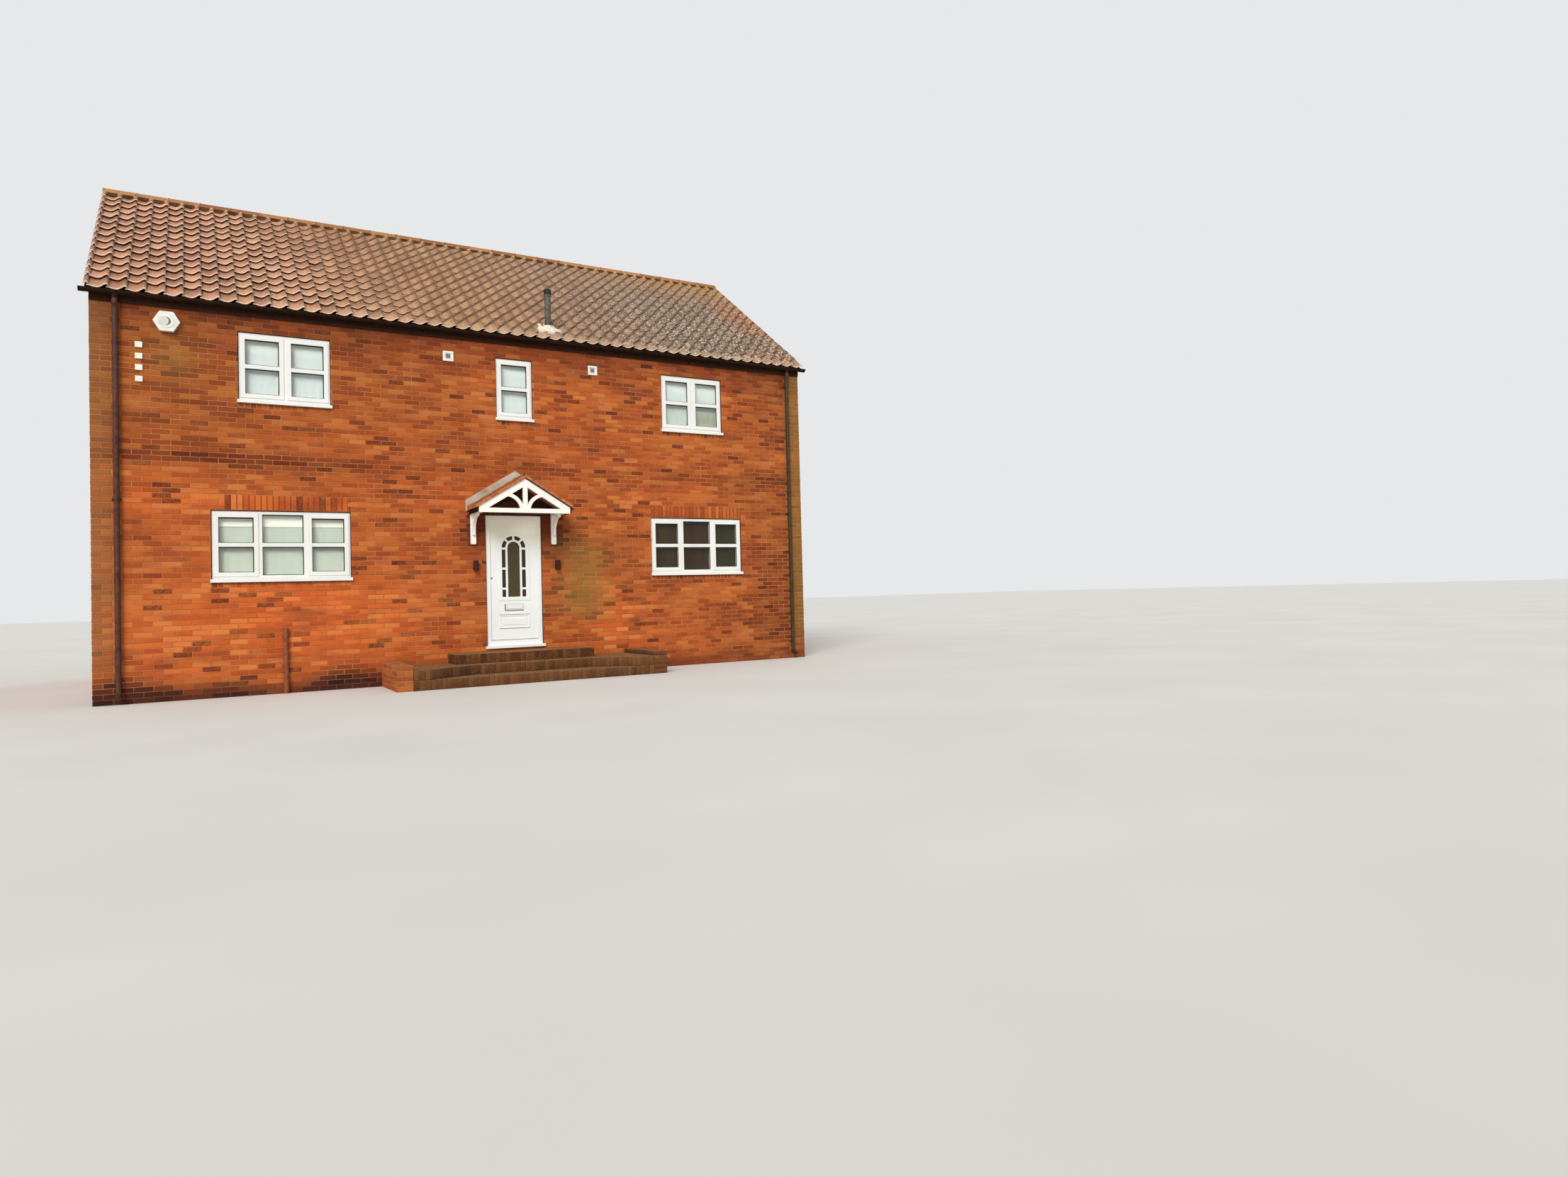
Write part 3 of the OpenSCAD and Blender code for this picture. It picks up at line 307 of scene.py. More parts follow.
def brickPoints(corners, origin, along, up, depths, proud=brickwork["proud"]):
    # three rings of four points a brick: in the joint, at the arris, and on the face inside the arris
    origin, along, up = (np.asarray(v, float) for v in (origin, along, up))
    out = np.cross(along, up)
    arris = brickwork["arris"]
    inwards = np.array([[1, 1], [-1, 1], [-1, -1], [1, -1]]) * arris
    rings = np.stack([corners, corners, corners + inwards], 1)
    heights = np.zeros(rings.shape[:3])
    heights[:, 0] = -depths[:, None]
    heights[:, 1] = proud - arris
    heights[:, 2] = proud
    heights[:, 1:] += dice.normal(0, brickwork["uneven"], (len(corners), 1, 1))
    points = origin + rings[..., :1] * along + rings[..., 1:] * up + heights[..., None] * out
    return points.reshape(-1, 3)


brickFaces = np.concatenate([gridFaces(3, 4, closeColumns=True), [[8, 9, 10, 11]]])


def wallTone(middles, warmth, stains):
    # red is the brick's own tone, green how burnt it is and blue the warmth of its place
    count = len(middles)
    tone = np.zeros((count, 4))
    tone[:, 0] = dice.random(count)
    burnt = dice.random(count)
    dark = 0.55 + 0.45 * dice.random(count)
    light = 0.12 * dice.random(count)
    tone[:, 1] = np.where(burnt < brickwork["burnt"], dark, light)
    tone[:, 2] = np.clip(warmth, 0, 1)
    tone[:, 3] = 1
    return np.repeat(tone, 12, axis=0), np.repeat(np.clip(stains, 0, 1), 12, axis=0)


def hill(value, centre, spread):
    # 1 at the centre, falling off as a bell
    return np.exp(-((value - centre) / spread) ** 2)


def ramp(value, low, high):
    # 0 below low and 1 above high, with a straight line between
    return np.clip((value - low) / (high - low), 0, 1)


# Line of the canopy's roof on the wall, and the painted shade that goes with it on the bricks under it and
# beside the door.
canopy = {
    "rise": 0.6345,
    "peak": 3.245,
    "half": 0.76,
    "thick": 0.078,
    "faceY": house["front"] - 0.64,
    "shade": 0.09,
    "trussFoot": 2.69,
    "shadeReach": (0.68, 0.95),
    "shadeRise": (1.75, 2.35),
}

# Openings of a long face, in metres from its left corner and its foot: left, right, foot, head.
openings = {
    "lowerLeft": (1.360, 3.160, 1.65, 2.70),
    "lowerRight": (8.002, 9.802, 1.65, 2.70),
    "upperLeft": (1.715, 2.915, 4.275, 5.325),
    "upperMiddle": (5.344, 5.944, 4.275, 5.325),
    "upperRight": (8.256, 9.456, 4.275, 5.325),
    "door": (5.1325, 6.0475, 0.490, 2.70),
}
windowKeys = [key for key in openings if key != "door"]


def longFace(name, origin, along, holes):
    # stretcher bond round the openings, bricks on end over the lower windows and on edge under all windows
    width = house["right"] - house["left"]
    cut = [openings[key] for key in holes]
    heads = []
    for (startTrim, endTrim), (left, right, foot, head) in zip(brickwork["onEndTrims"], cut):
        heads.append((left + startTrim, right - endTrim, head, head + pitchU))
    feet = [(*openings[key][:2], openings[key][2] - pitchV, openings[key][2]) for key in windowKeys]
    rects = stretcherBond(width, brickwork["eavesTop"], 0.0, 0, brickwork["proud"])
    rects[:, 3] = np.minimum(rects[:, 3], brickwork["eavesTop"] - 0.002)
    rects = splitAt(rects[rects[:, 3] - rects[:, 2] > brickwork["lowest"]], cut + heads + feet)
    rows = [bricksInRow(*row, round((row[1] - row[0]) / pitchV)) for row in heads + feet]
    rects = np.concatenate([rects, *rows])
    near = np.zeros(len(rects), bool)
    margin = 0.01
    for left, right, foot, head in cut:
        beside = (rects[:, 0] < right + margin) & (rects[:, 1] > left - margin)
        near |= beside & (rects[:, 2] < head + margin) & (rects[:, 3] > foot - margin)
    depths = np.where(near, brickwork["inReveal"], brickwork["inWall"])
    corners = cornersOf(rects)
    corners = corners + dice.normal(0, brickwork["wobble"], corners.shape)
    return name, corners, origin, along, depths


def weather(u, v, isFront):
    # where the wall is warm; where it is darker, green or brown outside the downpipes; and painted shade:
    # black under the canopy, dark beside the door and along the foot at the left
    drift = 0.09 * np.sin(2.1 * u + 0.7) + 0.07 * np.sin(4.7 * u + v)
    damp = 1 - ramp(v, 0.05 + drift, 0.30 + drift)
    if not isFront:
        return 0.45 + 0.2 * np.sin(0.8 * u + 1.3 * v), np.stack([damp, 0 * u, 0 * u, 0 * u], -1)
    warmth = 0.42 - 0.34 * ramp(v, 3.25, 4.45) * (1 - ramp(u, 2.5, 6.5)) - 0.36 * ramp(u, 9.2, 10.4)
    warmth = warmth - 0.22 * (1 - ramp(u, 1.0, 2.2)) * ramp(v, 3.2, 4.0)
    warmth = warmth + 0.75 * hill(u, 2.2, 1.9) * hill(v, 1.1, 0.75)
    warmth = warmth + 0.65 * hill(u, 7.4, 0.6) * hill(v, 0.8, 0.5)
    warmth = warmth + 0.3 * ((v > 2.70) & (v < 2.92) & (u < 3.2))
    warmth = warmth + 0.1 * np.sin(1.7 * u + 2.2 * v)
    band = hill(v, 3.45, 0.11) * (0.35 + 0.5 * (1 - ramp(u, 2.2, 4.2)))
    away = np.abs(u + house["left"] - house["canopyX"])
    # painted shade: the wall under the canopy's roof and over its truss's foot is nearly black
    under = v + canopy["rise"] * away < canopy["peak"] + canopy["shade"]
    porchShade = under & (v > canopy["trussFoot"]) & (away < canopy["half"])
    atTruss = ramp(v, canopy["trussFoot"] - 0.03, canopy["trussFoot"] + 0.03)
    # painted shade beside the door, below the canopy
    beside = 0.9 * ramp(v, *canopy["shadeRise"]) * (1 - atTruss) * (1 - ramp(away, *canopy["shadeReach"]))
    purple = 0.45 * ramp(u, 9.9, 10.2) * ramp(v, 0.25, 0.5) * (1 - ramp(v, 1.7, 2.3))
    # darkening: a dark band across the wall, the painted shade beside the door, a darker strip under the
    # eaves and a dark patch low at the far right
    darkening = np.maximum(np.maximum(band, beside), np.maximum(0.6 * ramp(v, 4.95, 5.55), purple))
    green = 0.68 * hill(u, 6.75, 0.42) * ramp(v, 0.75, 1.15) * (1 - ramp(v, 2.05, 2.55))
    green = np.maximum(green, 0.4 * hill(u, 0.92, 0.28) * hill(v, 4.85, 0.32))
    # painted shadow along the foot of the wall at the left, fading out near the door
    footShadow = 0.5 * (1 - ramp(v, 0.08 + drift, 0.36 + drift)) * (1 - ramp(u, 4.5, 6.5))
    strips = np.maximum(1 - ramp(u, 0.2, 0.26), ramp(u, 10.86, 10.92)) * ramp(v, 0.15, 0.65)
    damp = damp * (1 - 0.5 * ramp(u, 7.5, 9))
    return warmth, np.stack([np.maximum(damp, darkening), green, strips, np.maximum(0.80 * porchShade, footShadow)], -1)


def layBricks(name, corners, origin, along, depths, material, isFront=False):
    # a wall's bricks as one mesh, each with its tone and its stains
    middles = corners.mean(1)
    warmth, stains = weather(middles[:, 0], middles[:, 1], isFront)
    tone, stain = wallTone(middles, warmth, stains)
    # the sides of the bricks round an opening are dark, as they lie in its shadow
    stain.reshape(-1, 12, 4)[depths > brickwork["inWall"], :4, 3] = 0.85
    # bricks on end over the lower windows have dark edges
    size = corners[:, 2] - corners[:, 0]
    stain.reshape(-1, 12, 4)[(size[:, 1] > 0.15) & (middles[:, 1] > 1), :8, 3] = 0.3
    # bricks on edge under the sills lie in the sills' shadow, darkest at the top
    underSill = (size[:, 0] < 0.08) & (size[:, 1] < 0.08) & (depths > 0)
    for foot in sorted({openings[key][2] for key in windowKeys}):
        shaded = np.flatnonzero(underSill & (np.abs(middles[:, 1] - foot + pitchV / 2) < 0.02))
        stain.reshape(-1, 12, 4)[shaded[:, None], [2, 3, 6, 7, 10, 11], 3] = 0.6
    points = brickPoints(corners, origin, along, (0, 0, 1), depths)
    tones = {"brickTone": tone, "brickStain": stain}
    piece = meshPiece(name, points, [repeated(brickFaces, len(corners), 12)], None, tones)
    print(name, len(corners), "bricks")
    return dress(piece, material)


def sandFacedBrick():
    # kiln-fired clay with a sanded, creased face: matt, orange-red, with dark burnt bricks among the rest
    material, tree, place = newFinish("sandFacedBrick")
    tone = addNode(tree, "Attribute", {"attribute_name": "brickTone"}).outputs["Color"]
    stain = addNode(tree, "Attribute", {"attribute_name": "brickStain"}).outputs
    tones = addNode(tree, "SeparateColor", (), {0: tone}).outputs
    stains = addNode(tree, "SeparateColor", (), {0: stain["Color"]}).outputs
    look = {"Vector": place, "Scale": 38, "Detail": 4, "Roughness": 0.6}
    creases = addNode(tree, "TexNoise", (), look).outputs[0]
    sand = addNode(tree, "TexNoise", (), {"Vector": place, "Scale": 260, "Detail": 2}).outputs[0]
    cool = [(0.0, "#7C3815"), (0.35, "#944618"), (0.7, "#A4521E"), (1.0, "#B0642A")]
    warm = [(0.0, "#BE521C"), (0.35, "#D06026"), (0.7, "#DC6C2C"), (1.0, "#E48240")]
    browns = addNode(tree, "ValToRGB", {"stops": cool}, {0: tones[0]}).outputs[0]
    reds = addNode(tree, "ValToRGB", {"stops": warm}, {0: tones[0]}).outputs[0]
    colour = addNode(tree, "Mix", blend, {0: tones[2], 6: browns, 7: reds}).outputs[2]
    # weathering drawn out along the courses, in patches about a metre long and a third of that high
    drawn = addNode(tree, "Mapping", (), {"Vector": place, "Scale": (1, 1, 3.2)}).outputs[0]
    look = {"Vector": drawn, "Scale": 0.9, "Detail": 6, "Roughness": 0.65}
    drift = addNode(tree, "TexNoise", (), look).outputs[0]
    plum = addNode(tree, "MapRange", (), {0: drift, 1: 0.5, 2: 0.68, 3: 0.0, 4: 0.65}).outputs[0]
    bleached = addNode(tree, "MapRange", (), {0: drift, 1: 0.48, 2: 0.34, 3: 0.0, 4: 0.4}).outputs[0]
    patch = addNode(tree, "MapRange", (), {0: creases, 1: 0.35, 2: 0.62, 3: 0.55, 4: 1.0}).outputs[0]
    burnt = addNode(tree, "Math", product, {0: tones[1], 1: patch}).outputs[0]
    for share, code in ((plum, "#7C3820"), (bleached, "#CE7A3C"), (burnt, "#5A2510")):
        colour = addNode(tree, "Mix", blend, {0: share, 6: colour, 7: code}).outputs[2]
    # damp, dark patches and painted shade beside the door darken a brick, then come algae, the strips outside
    # the downpipes and the painted deep shadows, with the dark edges of the bricks on end
    colour = addNode(tree, "Mix", darken, {0: stains[0], 6: colour, 7: "#88604A"}).outputs[2]
    axes = addNode(tree, "SeparateXYZ", (), {0: place}).outputs
    atRight = addNode(tree, "Math", {"operation": "GREATER_THAN"}, {0: axes[0], 1: 0.0}).outputs[0]
    olive = addNode(tree, "Mix", blend, {0: atRight, 6: "#8A5C34", 7: "#86682E"}).outputs[2]
    strip = addNode(tree, "Math", product, {0: stains[2], 1: 0.65}).outputs[0]
    # the alpha is painted shade: under the canopy, in the reveals, under the sills and along the foot at the
    # left; and the dark edges of the bricks on end
    for share, code in ((stains[1], "#7F6A2E"), (strip, olive), (stain["Alpha"], "#1C120C")):
        colour = addNode(tree, "Mix", blend, {0: share, 6: colour, 7: code}).outputs[2]
    grain = addNode(tree, "MapRange", (), {0: sand, 1: 0.3, 2: 0.7, 3: 0.82, 4: 1.12}).outputs[0]
    shade = addNode(tree, "HueSaturation", (), {"Value": grain, "Color": colour}).outputs[0]
    finishSurface(tree, {"Base Color": shade, "Roughness": 0.88, "Specular IOR Level": 0.3}, creases, 0.0015)
    return material


def pointedMortar():
    # sand and lime mortar raked to a joint, buff outside; the wall's inner face is painted plaster
    material, tree, place = newFinish("pointedMortar")
    sand = addNode(tree, "TexNoise", (), {"Vector": place, "Scale": 300, "Detail": 3}).outputs[0]
    blotch = addNode(tree, "TexNoise", (), {"Vector": place, "Scale": 2.2, "Detail": 3}).outputs[0]
    axes = addNode(tree, "SeparateXYZ", (), {0: place}).outputs
    buff = [(0.3, "#9A5E32"), (0.5, "#AE6E3D"), (0.7, "#BF804C")]
    outside = addNode(tree, "ValToRGB", {"stops": buff}, {0: blotch}).outputs[0]
    foot = addNode(tree, "MapRange", soft, {0: axes[2], 1: 0.02, 2: 0.33}).outputs[0]
    outside = addNode(tree, "Mix", blend, {0: foot, 6: "#5E4430", 7: outside}).outputs[2]
    # the canopy's shadow is soot-dark: under the line of its roof and over the foot of its truss
    aside = addNode(tree, "Math", {"operation": "SUBTRACT"}, {0: axes[0], 1: house["canopyX"]}).outputs[0]
    away = addNode(tree, "Math", {"operation": "ABSOLUTE"}, {0: aside}).outputs[0]
    slope = {0: away, 1: canopy["rise"], 2: axes[2]}
    line = addNode(tree, "Math", {"operation": "MULTIPLY_ADD"}, slope).outputs[0]
    shade, foot, face = canopy["peak"] + canopy["shade"], canopy["trussFoot"], house["front"] + 0.05
    under = addNode(tree, "Math", {"operation": "LESS_THAN"}, {0: line, 1: shade}).outputs[0]
    above = addNode(tree, "Math", {"operation": "GREATER_THAN"}, {0: axes[2], 1: foot}).outputs[0]
    ahead = addNode(tree, "Math", {"operation": "LESS_THAN"}, {0: axes[1], 1: face}).outputs[0]
    near = addNode(tree, "Math", {"operation": "LESS_THAN"}, {0: away, 1: canopy["half"]}).outputs[0]
    porchShade = under
    for part in (above, ahead, near):
        porchShade = addNode(tree, "Math", product, {0: porchShade, 1: part}).outputs[0]
    # painted shade beside the door, below the canopy
    nearest, furthest = canopy["shadeReach"]
    lowest, highest = canopy["shadeRise"]
    shadeBeside = addNode(tree, "MapRange", (), {0: away, 1: nearest, 2: furthest, 3: 0.8, 4: 0.0}).outputs[0]
    lower = addNode(tree, "MapRange", (), {0: axes[2], 1: lowest, 2: highest}).outputs[0]
    upper = addNode(tree, "Math", {"operation": "LESS_THAN"}, {0: axes[2], 1: foot}).outputs[0]
    for part in (lower, upper, ahead):
        shadeBeside = addNode(tree, "Math", product, {0: shadeBeside, 1: part}).outputs[0]
    # joints of the bricks on end are packed with a darker red mortar: two rows, and their height
    rows = []
    for axis, middle, half in ((0, -3.22, 0.812), (0, 3.337, 0.9), (2, 2.8125, 0.108)):
        limits = {0: axes[axis], 1: middle, 2: half}
        rows.append(addNode(tree, "Math", {"operation": "COMPARE"}, limits).outputs[0])
    onEnd = addNode(tree, "Math", {"operation": "ADD"}, {0: rows[0], 1: rows[1]}).outputs[0]
    onEnd = addNode(tree, "Math", product, {0: onEnd, 1: rows[2]}).outputs[0]
    eaves = addNode(tree, "MapRange", (), {0: axes[2], 1: 4.95, 2: 5.5, 3: 0.0, 4: 0.75}).outputs[0]
    # what lies deeper than half the wall's thickness is the painted inner face
    wide = addNode(tree, "Math", {"operation": "ABSOLUTE"}, {0: axes[0]}).outputs[0]
    inX = addNode(tree, "Math", {"operation": "LESS_THAN"}, {0: wide, 1: house["right"] - 0.15}).outputs[0]
    depth = addNode(tree, "Math", {"operation": "SUBTRACT"}, {0: axes[1], 1: house["ridgeY"]}).outputs[0]
    deep = addNode(tree, "Math", {"operation": "ABSOLUTE"}, {0: depth}).outputs[0]
    innerY = house["rear"] - house["ridgeY"] - 0.15
    inY = addNode(tree, "Math", {"operation": "LESS_THAN"}, {0: deep, 1: innerY}).outputs[0]
    inside = addNode(tree, "Math", product, {0: inX, 1: inY}).outputs[0]
    colour = outside
    for share, code in ((porchShade, "#241910"), (shadeBeside, "#4A2A18"), (onEnd, "#86421F"), (eaves, "#6E3A20"),
                        (inside, "#8F6238")):
        colour = addNode(tree, "Mix", blend, {0: share, 6: colour, 7: code}).outputs[2]
    finishSurface(tree, {"Base Color": colour, "Roughness": 0.93, "Specular IOR Level": 0.2}, sand, 0.0012)
    return material


brickFinish = sandFacedBrick()
mortarFinish = pointedMortar()
for wall in ("front_wall_left", "front_wall_right", "front_wall_over_door", "front_wall_under_door",
             "rear_wall", "left_gable_wall", "right_gable_wall"):
    paintNode(wall, mortarFinish)
frontFace = longFace("frontBricks", (house["left"], house["front"], 0), (1, 0, 0), list(openings))
rearFace = longFace("rearBricks", (house["right"], house["rear"], 0), (-1, 0, 0), windowKeys)
layBricks(*frontFace, brickFinish, True)
layBricks(*rearFace, brickFinish)


def gableFace(name, x, isRight):
    # stretcher bond under the slope: the upper corners of each brick come down to the roof's underside
    depth = house["rear"] - house["front"]
    corners = cornersOf(stretcherBond(depth, brickwork["gableTop"], 0.0, 1))
    corners = corners + dice.normal(0, brickwork["wobble"], corners.shape)
    middle = depth / 2
    rise = math.tan(house["pitch"])
    eaves = middle + house["front"] - house["eavesY"]
    top = house["eavesZ"] + (eaves - np.abs(corners[:, 2:, 0] - middle)) * rise - 0.006
    corners[:, 2:, 1] = np.minimum(corners[:, 2:, 1], top)
    tall = corners[:, 2:, 1] - corners[:, 1::-1, 1]
    corners[:, 2:, 1] = np.maximum(corners[:, 2:, 1], corners[:, 1::-1, 1] + 0.007)
    corners = corners[(tall.max(1) > 0.02) & (tall.min(1) > -0.03)]
    origin = (x, house["front"] if isRight else house["rear"], 0)
    along = (0, 1, 0) if isRight else (0, -1, 0)
    return name, corners, origin, along, np.full(len(corners), brickwork["inWall"])


layBricks(*gableFace("rightGableBricks", house["right"], True), brickFinish)
layBricks(*gableFace("leftGableBricks", house["left"], False), brickFinish)
print("walls done")

# Pantiles: one closed tile repeated, with a trough at its left and a roll at its right that laps the next.
tiling = {
    "courses": 14,
    "columns": 52,
    "half": 5.622,
    "verge": 0.057,
    "slope": 3.905 / math.cos(house["pitch"]),
    "tail": 0.036,
    "eavesTail": 0.014,
    "fall": (0.034, 0.0075),
    "roll": 0.062,
    "thick": (0.016, 0.005),
    "turnPlain": (2.8, 4.9),
    "lap": 0.016,
    "vergeShare": 0.735,
    "slip": 0.0035,
    "lift": 0.0012,
    "nudge": 0.0018,
    "twist": 0.004,
    "felt": 0.0015,
    "knots": [(-0.10, 0.017), (0.0, 0.019), (0.10, 0.014), (0.22, 0.005), (0.34, 0.001), (0.44, 0.0),
              (0.55, 0.008), (0.66, 0.025), (0.76, 0.045), (0.84, 0.058), (0.90, 0.062), (0.96, 0.055),
              (1.0, 0.034)],
}
gauge = tiling["slope"] / tiling["courses"]


def onSlope(x, s, h, isRear=False):
    # a point x along the eaves, s up the slope and h square to it; the rear slope is the front turned about
    cosine, sine = math.cos(house["pitch"]), math.sin(house["pitch"])
    y = house["eavesY"] + s * cosine - h * sine
    z = house["eavesZ"] + s * sine + h * cosine
    if isRear:
        x, y = -x, 2 * house["ridgeY"] - y
    return np.stack(np.broadcast_arrays(x, y, z), -1)


def tileField(isRear):
    # a tile is the profile of its knots carried round seven rings: along its lower face, up its tail and over
    # the top; a point lies its share of a width along the eaves, and its course and ring up the slope
    knots = np.array(tiling["knots"])
    columns = np.arange(-1, tiling["columns"])
    courses = np.arange(tiling["courses"])
    width = (2 * tiling["half"] - tiling["verge"]) / tiling["columns"]
    shape = (len(courses), len(columns), 1, 1)
    share = np.broadcast_to(knots[:, 0], (1, len(columns), 1, len(knots))).copy()
    height = np.broadcast_to(knots[:, 1], share.shape).copy()
    share[:, 0] = np.interp(knots[:, 0], (knots[0, 0], 1.0), (tiling["vergeShare"], 1.0))
    height[:, 0] = np.interp(share[:, 0], knots[:, 0], knots[:, 1])
    reach = gauge + tiling["lap"]
    ringS = np.array([reach, 0.004, 0.0, 0.006, 0.045, gauge - 0.05, reach])[None, None, :, None]
    ringH = np.array([-0.92, -1.0, -0.3, 0, 0, 0, 0])[None, None, :, None]
    spreads = [tiling[key] for key in ("slip", "lift", "nudge", "twist")]
    slip, lift, nudge, twist = (dice.normal(0, spread, shape) for spread in spreads)
    startX = -tiling["half"] + tiling["verge"] + columns[None, :, None, None] * width
    x = startX + share * width + nudge * (columns[None, :, None, None] >= 0)
    x = np.clip(x, -tiling["half"], tiling["half"] + 0 * x) + 0 * ringS + 0 * slip
    s = courses[:, None, None, None] * gauge + ringS + slip + twist * (share - 0.5)
    # the tail lies on the course below, lower at the eaves; the head goes down less towards the right
    across = x + tiling["half"]
    plain = ramp(across + 0.3 * np.arange(len(courses))[:, None, None, None] * gauge, *tiling["turnPlain"])
    fall = tiling["fall"][0] + (tiling["fall"][1] - tiling["fall"][0]) * plain
    thick = tiling["thick"][0] + (tiling["thick"][1] - tiling["thick"][0]) * plain
    tail = np.where(courses == 0, tiling["eavesTail"], tiling["tail"])[:, None, None, None]
    base = tail + (tiling["tail"] - fall - tail) * ringS / gauge
    h = base + height * (1 - 0.15 * plain) + ringH * thick + lift * (1 - 0.6 * plain)
    h = np.maximum(h, tiling["felt"] + 0.0005 + 0.003 * (ringH > -0.5))
    points = onSlope(x, s, h, isRear)
    tone = np.ones(x.shape + (4,))
    tone[..., 0] = 0.5 + (dice.random(shape) - 0.5) * (1 - 0.6 * plain)
    tone[..., 1] = height / tiling["roll"] + 0 * x
    # pale noses: partly the clay's bleached edge, partly a painted highlight where the noses face the light;
    # faint where the roof turns plain, except at the eaves
    edge = np.array([0, 0.9, 1, 0.95, 0.3, 0, 0])[None, None, :, None]
    atEaves = courses[:, None, None, None] == 0
    tone[..., 2] = edge * np.where(atEaves, 1 - 0.2 * plain, 1 - 0.85 * plain)
    age = np.ones(x.shape + (4,))
    age[..., 0] = 1 - ramp(across, 1.2, 4.6)
    age[..., 1] = ramp(across, 5.2, 9.2) - 0.4 * ramp(across, 10.6, 11.2)
    # moss and painted shade lie at the left of each trough, wider towards the right, and a painted shadow
    # under the next tail, fainter there
    under = np.array([0, 0, 0, 0, 0, 0, 1])[None, None, :, None] * (1 - plain)
    age[..., 2] = np.maximum(1 - ramp(share, 0.03, 0.13), under)
    # a streak of painted shadow, the noses' shadows lined up, climbs one course for each tile along: its
    # number is the columns along the eaves less the courses up the slope and a share of the height, so that
    # it crosses rolls and troughs without a break
    grid = np.ones(x.shape + (4,))
    climb = courses[:, None, None, None] + (ringS + 1.34 * height) / gauge
    grid[..., 0] = share + columns[None, :, None, None] - climb + 20
    grid[..., 1] = plain
    tiles = len(courses) * len(columns)
    rings, places = 7, len(knots)
    skin = gridFaces(rings, places, closeRows=True)
    ends = np.array([np.arange(rings) * places, (np.arange(rings) * places + places - 1)[::-1]])
    faces = [repeated(skin, tiles, rings * places), repeated(ends, tiles, rings * places)]
    tones = {"tileTone": tone.reshape(-1, 4), "tileAge": age.reshape(-1, 4), "tileGrid": grid.reshape(-1, 4)}
    return points, faces, tones


